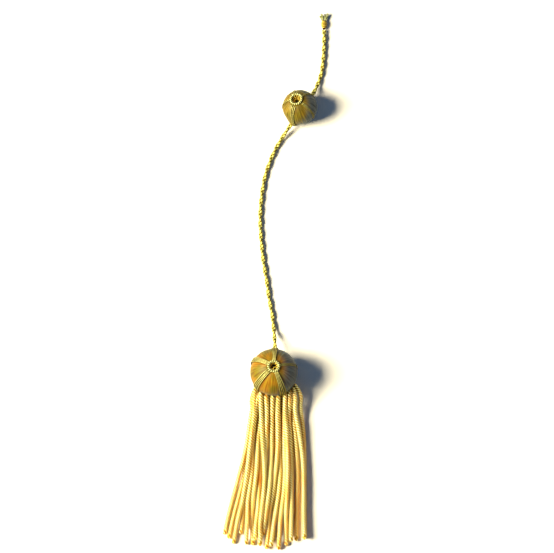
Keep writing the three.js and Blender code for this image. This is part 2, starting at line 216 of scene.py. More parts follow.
def frames_along(line: Array, up: Array = UP) -> tuple[Array, Array]:
    """Unit vectors to the side of and above a line.

    Side is the line's direction crossed with up, and above is side crossed with the direction.

    Args:
        line: Points of the line, one a row.
        up: One upward direction, or one for each point.

    Returns:
        The side vectors and the vectors above.
    """
    along = unit(np.gradient(line, axis=0))
    side = unit(np.cross(along, np.broadcast_to(up, line.shape)))
    return side, np.cross(side, along)


# ---- meshes -------------------------------------------------------------------------------------


def threaded(along: Array, round_it: Array, height: Array) -> Array:
    """Thread coordinates of a grid, from three arrays that broadcast to its shape."""
    return np.stack(np.broadcast_arrays(along, round_it, height), axis=-1)


@dataclass
class Surface:
    """Points and faces of one or more closed skins, in millimetres.

    Attributes:
        points: One point a row.
        quads: Four point numbers a row.
        fans: Three point numbers a row, for the faces round the closed ends.
        thread: Thread coordinates of each point. On gilt thread they are the place along the thread
            in millimetres, the place round it in turns, and its height from 0 in a groove to 1 on a
            crown. On silk they are the place round the ball, as x and y, and along the fibre.
    """

    points: Array
    quads: Array
    fans: Array
    thread: Array


def merged(surfaces: list[Surface]) -> Surface:
    """Several surfaces in one mesh, each left closed on its own."""
    starts = np.cumsum([0] + [len(surface.points) for surface in surfaces[:-1]])
    return Surface(
        np.vstack([surface.points for surface in surfaces]),
        np.vstack([surface.quads + start for surface, start in zip(surfaces, starts)]),
        np.vstack([surface.fans + start for surface, start in zip(surfaces, starts)]),
        np.vstack([surface.thread for surface in surfaces]),
    )


def skin(grid: Array, thread: Array, ring: bool = False) -> Surface:
    """Closes a grid of points into a skin.

    Rows run along the shape, and each row goes round it. Each row is joined to the next by quads. An
    open shape's first and last rows are closed by fans round their middle points; a ring's last row
    is joined to its first.

    Args:
        grid: Points, as rows by columns by 3.
        thread: Thread coordinates, in the same shape.
        ring: True if the rows close on themselves.

    Returns:
        The closed surface, with its faces outward.
    """
    rows, columns = grid.shape[:2]
    number = np.arange(rows * columns).reshape(rows, columns)
    if ring:
        number = np.vstack([number, number[:1]])
    after = np.roll(number, -1, axis=1)
    quads = np.stack([number[:-1], number[1:], after[1:], after[:-1]], axis=-1).reshape(-1, 4)
    points, threads = grid.reshape(-1, 3), thread.reshape(-1, 3)
    if ring:
        return Surface(points, quads, np.zeros((0, 3), int), threads)
    first, last = np.full(columns, rows * columns), np.full(columns, rows * columns + 1)
    fans = np.vstack([
        np.stack([first, number[0], after[0]], axis=1),
        np.stack([last, after[-1], number[-1]], axis=1),
    ])
    ends = [0, -1]
    return Surface(np.vstack([points, grid[ends].mean(axis=1)]), quads, fans,
                   np.vstack([threads, thread[ends].mean(axis=1)]))


def tube(line: Array, radius: Array, up: Array = UP) -> Array:
    """Grid of points of a tube along a line.

    Point = line + radius (cos turn * side + sin turn * above).

    Args:
        line: Centre line, one point a row.
        radius: Radii, as rows by points round the tube.
        up: Upward direction, or one for each point of the line.

    Returns:
        The grid, as rows by points round the tube by 3.
    """
    side, above = frames_along(line, up)
    out = circle(TAU * turns(radius.shape[1])[None], side[:, None], above[:, None])
    return line[:, None] + radius[..., None] * out


def thread_tube(line: Array, radius: float, up: Array = UP, sides: int = 8) -> Surface:
    """A single plain thread with rounded ends.

    Its radius is r sqrt(1 - (1 - x)^2) over the last stretch at each end, where x goes from 0 at the
    end to 1, and r between. Its height for the finish is 1 on the upper side and low on the flanks,
    which paints a highlight on top and shade on the flanks, so that threads laid side by side stay
    apart to the eye.

    Args:
        line: Centre line.
        radius: Radius of the thread.
        up: Upward direction, or one for each point.
        sides: Points round it.

    Returns:
        The thread's closed surface.
    """
    end_length, blunt, lowest_height = 0.6 * radius, 0.12, 0.05
    run = run_of(line)
    rounded = radius * dome(np.minimum(run, run[-1] - run) / end_length, blunt)
    grid = tube(line, np.repeat(rounded[:, None], sides, axis=1), up)
    turn = turns(sides)[None]
    # Painted light: the upper side takes the finish's crown colour and the flanks its dark groove colour.
    crown = lowest_height + (1 - lowest_height) * np.clip(np.sin(TAU * turn), 0, 1) ** 4
    return skin(grid, threaded(run[:, None], turn, crown))


def make_piece(name: str, surface: Surface, material: Material,
               stands_for: str) -> Piece:
    """Turns a surface into a finished piece of the tassel.

    Args:
        name: The piece's name.
        surface: Its surface, in millimetres.
        material: Its finish.
        stands_for: The frame node that it replaces.

    Returns:
        The object, at the origin, with its place in its mesh.
    """
    mesh = bpy.data.meshes.new(name)
    mesh.from_pydata((surface.points * MM).tolist(), [], surface.quads.tolist() + surface.fans.tolist())
    mesh.update()
    mesh.shade_smooth()
    attribute = mesh.attributes.new("thread", "FLOAT_VECTOR", "POINT")
    attribute.data.foreach_set("vector", np.ascontiguousarray(surface.thread, np.float32).ravel())
    mesh.materials.append(material)
    piece = bpy.data.objects.new(name, mesh)
    bpy.context.scene.collection.objects.link(piece)
    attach(piece, "root")
    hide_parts(stands_for)
    triangles = 2 * len(surface.quads) + len(surface.fans)
    LOG.info("%s: %d triangles, for %s", name, triangles, stands_for)
    return piece


# ---- finishes -----------------------------------------------------------------------------------


def linear(code: str) -> tuple[float, float, float, float]:
    """Turns an sRGB colour linear: ((c + 0.055) / 1.055)^2.4, and c / 12.92 near black.

    Args:
        code: Hex code such as #c08040.

    Returns:
        The linear colour, with full alpha.
    """
    srgb = np.array([int(code[index:index + 2], 16) for index in (1, 3, 5)]) / 255
    value = np.where(srgb <= 0.04045, srgb / 12.92, ((srgb + 0.055) / 1.055) ** 2.4)
    return (*(float(part) for part in value), 1.0)


def add_node(tree: Tree, kind: str, inputs: dict | None = None,
             stops: list[tuple[float, str]] | None = None, **settings: object) -> Node:
    """Adds a node with its settings and links.

    Args:
        tree: The node tree.
        kind: Blender's name of the node type.
        inputs: For each input, by name or number, the value to set, the socket to link to it, or the
            node whose first output is linked to it.
        stops: For a colour ramp, its places and hex colours.
        **settings: Properties of the node.

    Returns:
        The node.
    """
    node = tree.nodes.new(kind)
    for key, value in settings.items():
        setattr(node, key, value)
    for key, value in (inputs or {}).items():
        if isinstance(value, Node):
            value = value.outputs[0]
        if isinstance(value, Socket):
            tree.links.new(value, node.inputs[key])
        else:
            node.inputs[key].default_value = value
    if stops:
        elements = node.color_ramp.elements
        while len(elements) < len(stops):
            elements.new(0.5)
        for element, (place, code) in zip(elements, stops):
            element.position, element.color = place, linear(code)
    return node


def new_material(name: str) -> tuple[Material, Tree]:
    """Makes a material with an empty node tree.

    Args:
        name: The material's name.

    Returns:
        The material and its tree.
    """
    material = bpy.data.materials.new(name)
    material.use_nodes = True
    material.node_tree.nodes.clear()
    return material, material.node_tree


def reflected(tree: Tree, path: Node) -> Node:
    """Adds the node that is 1 for a ray that a gloss or a glass has sent, from a Light Path node."""
    return add_node(tree, "ShaderNodeMath", {
        0: path.outputs["Is Glossy Ray"], 1: path.outputs["Is Transmission Ray"]}, operation="MAXIMUM")


@dataclass(frozen=True)
class GiltThread:
    """Thread wound with flat gilt metal strip, as laid in bands, eyelets, bullions and cord.

    The strip is a metal. Its colour is mixed from groove to crown by the thread's height, and this
    paints light and shade on it: pale crowns as a painted highlight, and deep orange grooves between
    turns as painted shade, where light would reach only off the next turn.

    Attributes:
        name: Name of the finish.
        groove: Colour at the bottom of the grooves, a painted shade.
        flank: Colour halfway up.
        crown: Colour on the crowns, a painted highlight.
        patch: Colour of the patches where the strip has changed tone, also used for the painted shade at the
            table.
        metallic: How far the surface is bare metal rather than the silk core that shows between.
        roughness: Roughness of the strip.
        half_strip: Half the width of the wound strip, in millimetres.
        patch_share: Strength of the toned patches.
        patch_run: Width of a patch in its lengths along the tassel: 1 is as long as wide, and 0.15
            is drawn out so far that one bullion differs in tone from the next.
        levels: Heights at which the groove's, the flank's and the crown's colour stand.
        grain_share: How far the strip's unevenness shifts those heights.
        specular: Strength of the colourless gloss over the silk core; low, as the strip hides it.
        shade_at_table: Share of the patch colour down at the table, a painted shade for the light that
        has bounced between threads there.
    """

    name: str
    groove: str
    flank: str
    crown: str
    patch: str
    metallic: float
    roughness: float = 0.42
    half_strip: float = 0.4
    patch_share: float = 0.45
    patch_run: float = 1.0
    levels: Triple = (0.42, 0.72, 1.0)
    grain_share: float = 0.35
    specular: float = 0.1
    shade_at_table: float = 0.0

    def colour(self, tree: Tree, place: Socket, height: Socket, grain: Node) -> Socket:
        """Mixes the strip's colour from painted shade in the groove to painted highlight on the crown, with
        its patches of tone and the painted shade at the table.

        Args:
            tree: The node tree.
            place: The place on the tassel, in metres.
            height: The thread's height there.
            grain: The strip's fine unevenness.

        Returns:
            The socket that gives the colour.
        """
        # The toned patches are about 3 mm across: 330 a metre.
        drawn = add_node(tree, "ShaderNodeVectorMath", {0: place, 1: (1.0, self.patch_run, 1.0)},
                         operation="MULTIPLY")
        tone = add_node(tree, "ShaderNodeTexNoise", {"Vector": drawn, "Scale": 330.0, "Detail": 3.0})
        uneven = add_node(tree, "ShaderNodeMath", {0: grain, 1: self.grain_share, 2: height},
                          operation="MULTIPLY_ADD")
        low, middle, high = self.levels
        level = add_node(tree, "ShaderNodeMapRange", {"Value": uneven, "From Min": low, "From Max": high})
        # Painted light: the ramp gives the grooves a dark colour as shade and the crowns a pale one as
        # highlight.
        ramp = add_node(tree, "ShaderNodeValToRGB", {0: level}, stops=[
            (0.0, self.groove), ((middle - low) / (high - low), self.flank), (1.0, self.crown)])
        # Where the noise passes 0.5 a patch begins, and at 0.72 it has its full strength.
        share = add_node(tree, "ShaderNodeMapRange", {
            "Value": tone, "From Min": 0.5, "From Max": 0.72, "To Min": 0.0, "To Max": self.patch_share})
        # The painted shade at the table fades out from 1 mm to 6 mm above the table.
        rise = add_node(tree, "ShaderNodeSeparateXYZ", {0: place})
        table_shade = add_node(tree, "ShaderNodeMapRange", {
            "Value": rise.outputs["Z"], "From Min": 0.001, "From Max": 0.006,
            "To Min": self.shade_at_table, "To Max": 0.0})
        # Random tone and the painted shade at the table share one mix.
        tone_and_shade = add_node(tree, "ShaderNodeMath", {0: share, 1: table_shade}, operation="MAXIMUM")
        colour = add_node(tree, "ShaderNodeMix", {"Factor": tone_and_shade, MIX_A: ramp, MIX_B: linear(self.patch)},
                          data_type="RGBA")
        return colour.outputs[MIXED]

    def material(self) -> Material:
        """Builds the finish.

        Returns:
            The material.
        """
        material, tree = new_material(self.name)
        thread = add_node(tree, "ShaderNodeAttribute", attribute_name="thread").outputs["Vector"]
        along, turn, height = add_node(tree, "ShaderNodeSeparateXYZ", {0: thread}).outputs
        place = add_node(tree, "ShaderNodeTexCoord").outputs["Object"]
        # Fine unevenness of the strip, about 0.5 mm: 2000 a metre.
        grain = add_node(tree, "ShaderNodeTexNoise", {"Vector": place, "Scale": 2000.0, "Detail": 2.0})
        colour = self.colour(tree, place, height, grain)
        # The relief rises from a strip's edge to its middle in half a strip, and the strip leans by
        # half its width in one turn round the thread.
        strips = add_node(tree, "ShaderNodeMath", {0: along, 1: 1 / self.half_strip, 2: turn},
                          operation="MULTIPLY_ADD")
        wave = add_node(tree, "ShaderNodeMath", {0: strips, 1: 1.0}, operation="PINGPONG")
        relief = add_node(tree, "ShaderNodeMath", {0: grain, 1: 0.6, 2: wave}, operation="MULTIPLY_ADD")
        # A strip stands a tenth of a millimetre proud, at half strength as its edges are soft.
        bump = add_node(tree, "ShaderNodeBump", {"Strength": 0.5, "Distance": 0.0001, "Height": relief})
        rough = add_node(tree, "ShaderNodeMapRange", {
            "Value": grain, "To Min": self.roughness - 0.08, "To Max": self.roughness + 0.12})
        shader = add_node(tree, "ShaderNodeBsdfPrincipled", {
            "Base Color": colour, "Metallic": self.metallic, "Roughness": rough, "Normal": bump,
            "IOR": 1.5, "Specular IOR Level": self.specular})
        add_node(tree, "ShaderNodeOutputMaterial", {0: shader})
        return material


@dataclass(frozen=True)
class FlossSilk:
    """Untwisted floss silk wound from pole to pole over a turned mould.

    The fibres lie side by side, so they show as fine streaks from pole to pole, and their sheen is a
    soft glow across the streaks. The side of the ball away from the lamp gets painted shade, a
    blue-grey over the silk's colour.

    Attributes:
        name: Name of the finish.
        deep: Colour between fibres: random tone, which also stands as painted shade where the bump sinks.
        body: Colour of most of the silk.
        light: Colour of the fibres that catch the light: random tone, which also stands as a painted
        highlight where the bump rises.
        cool: Dye of the cooler hanks, by which those colours are multiplied; the others stay.
        shade_grey: Colour of the painted shade on the side away from the lamp.
        away_from_lamp: Direction pointing away from the lamp, to that shaded side.
        shade_share: How far the painted shade covers the silk's colour there.
        lock: Width of a lock of fibres in millimetres.
        lock_run: Length over which a lock keeps its tone, in millimetres.
        roughness: Roughness of the silk.
    """

    name: str
    deep: str
    body: str
    light: str
    cool: str = "#c8e8b0"
    shade_grey: str = "#70807c"
    away_from_lamp: Triple = (0.852, 0.089, -0.515)
    shade_share: float = 0.72
    lock: float = 1.0
    lock_run: float = 12.5
    roughness: float = 0.46

    def painted_shade(self, tree: Tree, dyed: Socket, streak: Node) -> Socket:
        """Paints shade into the silk's colour on the side that faces away from the lamp, over half of the
        ball.

        Args:
            tree: The node tree.
            dyed: The silk's own colour.
            streak: The streaks of its fibres, which the painted shade keeps.

        Returns:
            The socket that gives the colour.
        """
        # Painted shade: where the surface faces away from the lamp, the silk turns a blue-grey that keeps
        # its streaks.
        normal = add_node(tree, "ShaderNodeTexCoord").outputs["Normal"]
        away = add_node(tree, "ShaderNodeVectorMath", {0: normal, 1: self.away_from_lamp},
                        operation="DOT_PRODUCT")
        share = add_node(tree, "ShaderNodeMapRange", {
            "Value": away.outputs["Value"], "From Min": -0.25, "From Max": 0.25, "To Max": self.shade_share},
            interpolation_type="SMOOTHSTEP")
        streak_scale = add_node(tree, "ShaderNodeMapRange", {
            "Value": streak, "From Min": 0.35, "From Max": 0.65, "To Min": 0.6, "To Max": 1.5})
        shade_colour = add_node(tree, "ShaderNodeVectorMath", {0: linear(self.shade_grey)[:3], 3: streak_scale}, operation="SCALE")
        grey = add_node(tree, "ShaderNodeMix", {"Factor": share, MIX_A: dyed, MIX_B: shade_colour},
                        data_type="RGBA")
        return grey.outputs[MIXED]

    def material(self) -> Material:
        """Builds the finish.

        Returns:
            The material.
        """
        material, tree = new_material(self.name)
        thread = add_node(tree, "ShaderNodeAttribute", attribute_name="thread").outputs["Vector"]
        # The attribute holds the place round the ball in x and y and the place along the fibre in z,
        # all in millimetres, so a noise of scale 1 on these has one cell for each lock.
        locks = add_node(tree, "ShaderNodeVectorMath", {
            0: thread, 1: (1 / self.lock, 1 / self.lock, 1 / self.lock_run)}, operation="MULTIPLY")
        streak = add_node(tree, "ShaderNodeTexNoise", {
            "Vector": locks, "Scale": 1.0, "Detail": 3.0, "Roughness": 0.6})
        # Tones of about 8 mm, where one hank of silk gives way to the next: 0.12 a millimetre.
        broad = add_node(tree, "ShaderNodeTexNoise", {"Vector": thread, "Scale": 0.12, "Detail": 1.0})
        # The streaks' dark and light colours follow the bump, as painted shade and painted highlight.
        ramp = add_node(tree, "ShaderNodeValToRGB", {0: streak}, stops=[
            (0.3, self.deep), (0.5, self.body), (0.72, self.light)])
        share = add_node(tree, "ShaderNodeMapRange", {"Value": broad, "From Min": 0.4, "From Max": 0.6})
        hank = add_node(tree, "ShaderNodeMix", {
            "Factor": share, MIX_A: linear("#ffffff"), MIX_B: linear(self.cool)}, data_type="RGBA")
        dyed = add_node(tree, "ShaderNodeMix", {
            "Factor": 1.0, MIX_A: ramp, MIX_B: hank.outputs[MIXED]}, data_type="RGBA", blend_type="MULTIPLY")
        # The locks stand 0.12 mm proud of one another.
        bump = add_node(tree, "ShaderNodeBump", {"Strength": 0.6, "Distance": 0.00012, "Height": streak})
        rough = add_node(tree, "ShaderNodeMapRange", {
            "Value": streak, "To Min": self.roughness + 0.1, "To Max": self.roughness - 0.1})
        shader = add_node(tree, "ShaderNodeBsdfPrincipled", {
            "Base Color": self.painted_shade(tree, dyed.outputs[MIXED], streak), "Roughness": rough, "Normal": bump,
            "IOR": 1.54, "Sheen Weight": 0.25, "Sheen Roughness": 0.4,
            "Sheen Tint": linear("#78a8a0"), "Specular IOR Level": 0.15})
        add_node(tree, "ShaderNodeOutputMaterial", {0: shader})
        return material


@dataclass(frozen=True)
class FloorPaper:
    """Matte white paper under the tassel, so that the ground is plain and keeps the shadow.

    Attributes:
        name: Name of the finish.
        colour: Colour of the paper.
        bounce: Share of that colour that the floor throws back at the tassel.
        seen: The same where the floor is looked at straight, so that it comes out white.
        mirrored: The same where it is looked at in a gloss.
        middle: Middle of the tassel on the floor, in metres.
        fade: Distances from there at which the white studio begins and is complete, in metres.
    """

    name: str = "matte_white_paper"
    colour: str = "#f4e8c8"
    bounce: float = 0.36
    seen: float = 1.4
    mirrored: float = 0.9
    middle: Triple = (0.0, 0.063, 0.0)
    fade: tuple[float, float] = (0.2, 0.42)

    def material(self) -> Material:
        """Builds the finish.

        Returns:
            The material.
        """
        material, tree = new_material(self.name)
        place = add_node(tree, "ShaderNodeTexCoord").outputs["Object"]
        # Paper grain of about 2 mm: 500 a metre.
        grain = add_node(tree, "ShaderNodeTexNoise", {"Vector": place, "Scale": 500.0, "Detail": 2.0})
        bump = add_node(tree, "ShaderNodeBump", {"Strength": 0.04, "Distance": 0.0001, "Height": grain})
        path = add_node(tree, "ShaderNodeLightPath")
        by_eye = path.outputs["Is Camera Ray"]
        mirrored = add_node(tree, "ShaderNodeMapRange", {
            "Value": reflected(tree, path), "To Min": self.bounce, "To Max": self.mirrored})
        share = add_node(tree, "ShaderNodeMapRange", {
            "Value": by_eye, "To Min": mirrored, "To Max": self.seen})
        colour = add_node(tree, "ShaderNodeVectorMath", {0: linear(self.colour)[:3], 3: share},
                          operation="SCALE")
        paper = add_node(tree, "ShaderNodeBsdfDiffuse", {"Color": colour, "Roughness": 0.0, "Normal": bump})
        # Away from the tassel, past its shadow, the paper turns into the white of the studio.
        away = add_node(tree, "ShaderNodeVectorMath", {0: place, 1: self.middle}, operation="DISTANCE")
        far = add_node(tree, "ShaderNodeMapRange", {
            "Value": away.outputs["Value"], "From Min": self.fade[0], "From Max": self.fade[1]},
            interpolation_type="SMOOTHSTEP")
        looked_at = add_node(tree, "ShaderNodeMath", {0: far, 1: by_eye}, operation="MULTIPLY")
        white = add_node(tree, "ShaderNodeEmission", {"Color": linear("#ffffff"), "Strength": 1.0})
        ground = add_node(tree, "ShaderNodeMixShader", {0: looked_at, 1: paper, 2: white})
        add_node(tree, "ShaderNodeOutputMaterial", {0: ground})
        return material


# Worn threads of the bands: the strip is thin on them, so they look dull olive, and the dark between them is
# painted shade on their flanks.
BAND_GILT = GiltThread("gilt_strip_on_silk_thread", "#120c02", "#70600e", "#ccc068", "#644808",
                       metallic=0.3, half_strip=0.3, patch_share=0.35, grain_share=0.5)
# Eyelets: pale, almost silver crowns over olive grooves, with an uneven edge between the two.
EYELET_GILT = GiltThread("gilt_eyelet_wraps", "#342406", "#988e24", "#eeeca0", "#8c7c10",
                         metallic=0.25, half_strip=0.3, patch_share=0.6, grain_share=0.7,
                         levels=(0.6, 1.0, 1.4))
# Bullions: the brightest strip, with cream on the crowns as a painted highlight and warm orange down in the
# twist and at the table as painted shade.
BULLION_GILT = GiltThread("gilt_bullion_cord", "#684000", "#ffc618", "#fffca8", "#e48c00",
                          metallic=0.5, roughness=0.34, half_strip=0.35, patch_share=0.85, patch_run=0.15,
                          levels=(0.54, 0.85, 1.07), shade_at_table=0.4, specular=0.2)
# Gimp of the cord: yellow with a green cast, where silk shows between the turns of strip.
GIMP_GILT = GiltThread("gilt_gimp_cord", "#383004", "#b09414", "#d4ca64", "#a87408",
                       metallic=0.2, half_strip=0.35, patch_share=0.3)
# Whipping: a deeper, warmer gold that stands apart from the cord and its frayed ends.
WHIPPING_GILT = GiltThread("gilt_whipping_thread", "#342404", "#a8800c", "#dcbc48", "#90600c",
                           metallic=0.2, half_strip=0.35, patch_share=0.6)
# Frayed ends: loose pale green-gold fibres, mostly silk, with hardly any glint.
FRAYED_GILT = GiltThread("frayed_silk_and_gilt", "#40440c", "#c4c05c", "#fcfcc4", "#7c7c28", metallic=0.2)
# Threads in the throats: orange gold, painted brighter than the other gilt to stand for the light that
# bounces about in the bore.
THROAT_GILT = GiltThread("gilt_throat_wraps", "#54380c", "#cc9818", "#fcdc58", "#a07010",
                         metallic=0.1, half_strip=0.3, patch_share=0.4, levels=(0.3, 0.6, 1.0))
# Silk of the head: amber with green-gold lights, streaked from pole to pole.
AMBER_SILK = FlossSilk("amber_floss_silk", "#764000", "#986606", "#a88a18")
# Silk of the bead: the same hanks with less red in them, so it looks olive beside the head.
OLIVE_SILK = FlossSilk("olive_floss_silk", "#5e4200", "#82640a", "#988430", cool="#d4e0b8")


# ---- studio -------------------------------------------------------------------------------------


def aimed(name: str, data: bpy.types.ID, place: Vector, toward: Vector) -> bpy.types.Object:
    """Puts a camera or a lamp in its place.

    Args:
        name: Its name.
        data: Its settings.
        place: Its place, in metres.
        toward: The direction in which it looks.

    Returns:
        The object.
    """
    item = bpy.data.objects.new(name, data)
    item.location = place
    item.rotation_euler = toward.to_track_quat("-Z", "Y").to_euler()
    bpy.context.scene.collection.objects.link(item)
    return item


@dataclass(frozen=True)
class Studio:
    """Camera, lamp, world and floor, in metres.

    Attributes:
        elevation: Height of the camera's line of sight above the table, in degrees.
        width: Width of what the camera sees at the tassel.
        distance: Distance of the camera from its aim.
        aim_offset: Aim from the middle of the frame's box.
        lamp_place: Place of the lamp.
        lamp_aim: Point on the table at which the lamp looks.
        lamp_size: Side of the square lamp.
        lamp_power: Its power in watts.
        lamp_colour: Its colour.
        ambient: Colour of the light from all round.
        ambient_strength: Strength of that light.
        floor_size: Side of the square floor.
    """

    elevation: float = 75.0
    width: float = 0.3535
    distance: float = 12.0
    aim_offset: tuple[float, float] = (0.00104, 0.0037)
    lamp_place: Triple = (-1.727, -0.151, 1.357)
    lamp_aim: Triple = (0.0, 0.03, 0.0)
    lamp_size: float = 1.1
    lamp_power: float = 148.0
    lamp_colour: str = "#fffcf4"
    ambient: str = "#44587e"
    ambient_strength: float = 0.85
    floor_size: float = 6.0

    def camera(self) -> None:
        """Puts a long lens above the tassel, looking along +Y and steeply down."""
        low, high = CAD_BOX
        middle = (low + high) / 2
        aim = Vector((middle.x + self.aim_offset[0], middle.y + self.aim_offset[1], 0.0))
        rise = np.radians(self.elevation)
        back = Vector((0.0, -float(np.cos(rise)), float(np.sin(rise))))
        lens = bpy.data.cameras.new("camera")
        lens.sensor_width = 36.0
        lens.lens = lens.sensor_width * self.distance / self.width
        lens.clip_start, lens.clip_end = 1.0, 100.0
        bpy.context.scene.camera = aimed("camera", lens, aim + back * self.distance, -back)

    def lamp(self) -> None:
        """Adds one large soft lamp, low on the left as a window is."""
        light = bpy.data.lights.new("key_lamp", "AREA")
        light.size, light.energy = self.lamp_size, self.lamp_power
        light.color = linear(self.lamp_colour)[:3]
        place = Vector(self.lamp_place)
        aimed("key_lamp", light, place, Vector(self.lamp_aim) - place)

    def world(self) -> None:
        """Adds the light from all round, which a camera or a gloss sees as plain white."""
        world = bpy.data.worlds.new("studio")
        world.use_nodes = True
        bpy.context.scene.world = world
        tree = world.node_tree
        tree.nodes.clear()
        soft = add_node(tree, "ShaderNodeBackground", {
            "Color": linear(self.ambient), "Strength": self.ambient_strength})
        white = add_node(tree, "ShaderNodeBackground", {"Color": linear("#ffffff"), "Strength": 1.0})
        path = add_node(tree, "ShaderNodeLightPath")
        looked_at = add_node(tree, "ShaderNodeMath", {
            0: path.outputs["Is Camera Ray"], 1: reflected(tree, path)}, operation="MAXIMUM")
        seen = add_node(tree, "ShaderNodeMixShader", {0: looked_at, 1: soft, 2: white})
        add_node(tree, "ShaderNodeOutputWorld", {0: seen})

    def floor(self) -> None:
        """Lays the paper on the table."""
        half = self.floor_size / 2
        mesh = bpy.data.meshes.new("floor")
        corners = [(-half, -half, 0.0), (half, -half, 0.0), (half, half, 0.0), (-half, half, 0.0)]
        mesh.from_pydata(corners, [], [(0, 1, 2, 3)])
        mesh.materials.append(FloorPaper().material())
        floor = bpy.data.objects.new("floor", mesh)
        bpy.context.scene.collection.objects.link(floor)


# ---- cord ---------------------------------------------------------------------------------------

# The cord's way in metres, from its socket in the head, over the table, through the bead and on to
# its whipping. It is the way of the frame's cord.
CORD_ROUTE = np.array([
    (0.0005, 0.0104, 0.008), (0.00072, 0.014, 0.008), (0.00085, 0.0172, 0.0078),
    (0.00075, 0.0209, 0.0067), (0.00045, 0.026, 0.0042), (0.00005, 0.031, 0.0022),
    (-0.00045, 0.036, 0.0015), (-0.00095, 0.041, 0.00145), (-0.0021, 0.047, 0.00145),
    (-0.0033, 0.054, 0.00145), (-0.0043, 0.0623, 0.00145), (-0.0056, 0.0698, 0.00145),
    (-0.00675, 0.0777, 0.00145), (-0.0076, 0.0856, 0.00145), (-0.0082, 0.0926, 0.00145),
    (-0.00865, 0.101, 0.00145), (-0.0086, 0.109, 0.00145), (-0.008, 0.1176, 0.00145),
    (-0.0069, 0.1258, 0.00145), (-0.0053, 0.1339, 0.00145), (-0.0027, 0.1418, 0.00145),
    (0.0003, 0.1491, 0.00145), (0.0039, 0.1558, 0.0017), (0.0075, 0.1612, 0.0033),
    (0.0111, 0.1662, 0.005), (0.01425, 0.17075, 0.005), (0.0174, 0.1753, 0.005),
    (0.02055, 0.17985, 0.005), (0.0234, 0.184, 0.0049), (0.0257, 0.188, 0.0037),
    (0.0276, 0.1926, 0.0022), (0.0293, 0.1972, 0.00155), (0.0307, 0.2025, 0.00145),
    (0.0315, 0.2087, 0.00145), (0.03195, 0.2151, 0.00145), (0.0322, 0.2214, 0.0015),
    (0.03225, 0.2263, 0.0017), (0.0322, 0.2297, 0.00188),
])


@dataclass
class TwoPlyCord:
    """The cord that hangs the tassel: two plies, each wound with gimp and then twisted together.

    Attributes:
        length: The cord's length in metres; not used.
        diameter: Its diameter in metres; not used.
        ply_radius: Radius of a ply in millimetres.
        offset: Distance of each ply's middle from the cord's, in millimetres.
        lobe: Length of cord in which one ply gives way to the other, in millimetres.
        lobe_at_end: The same near the cut end, where the twist is tighter.
        tighter: Shares of the cord's length between which the lobes shorten.
        gimp: Pitch of the gimp's turns along the ply, in millimetres.
        relief: Depth of the grooves between the gimp's turns, in millimetres.
        sides: Points round a ply.
        rows: Points along it.
        path_points: Points of a centre line; not used.
    """

    length: float = 0.2319
    diameter: float = 0.0028
    ply_radius: float = 0.87
    offset: float = 0.54
    lobe: float = 7.7
    lobe_at_end: float = 5.9
    tighter: tuple[float, float] = (0.7, 0.85)
    gimp: float = 1.9
    relief: float = 0.2
    sides: int = 16
    rows: int = 1500
    path_points: int = 160

    def ply(self, start: float) -> Surface:
        """One ply: a wound thread on a helix round the cord's centre line.

        Its middle is line + offset (cos a * side + sin a * above), where a grows by half a turn for
        each lobe. Its radius falls by the relief in the grooves between the gimp's turns.

        Args:
            start: The ply's angle at the head, in radians.

        Returns:
            The ply's closed surface.
        """
        line = spline(CORD_ROUTE / MM, self.rows)
        run = run_of(line)
        early, late = self.tighter
        lobe = np.interp(run, [0, early * run[-1], late * run[-1]], [self.lobe, self.lobe, self.lobe_at_end])
        out = circle(start + np.cumsum(np.gradient(run) * np.pi / lobe), *frames_along(line))
        middle = on_table(line + self.offset * out, self.ply_radius + TABLE_GAP)
        turn = turns(self.sides)[None]
        crown = rib(TAU * (run[:, None] / self.gimp + turn))
        grid = tube(middle, self.ply_radius - self.relief * (1 - crown), out)
        return skin(grid, threaded(run[:, None], turn, crown))

    def build(self, finish: Material) -> Piece:
        """Makes the cord: both plies, half a turn apart."""
        both = merged([self.ply(0.0), self.ply(np.pi)])
        return make_piece("cord_plies", both, finish, "cord")


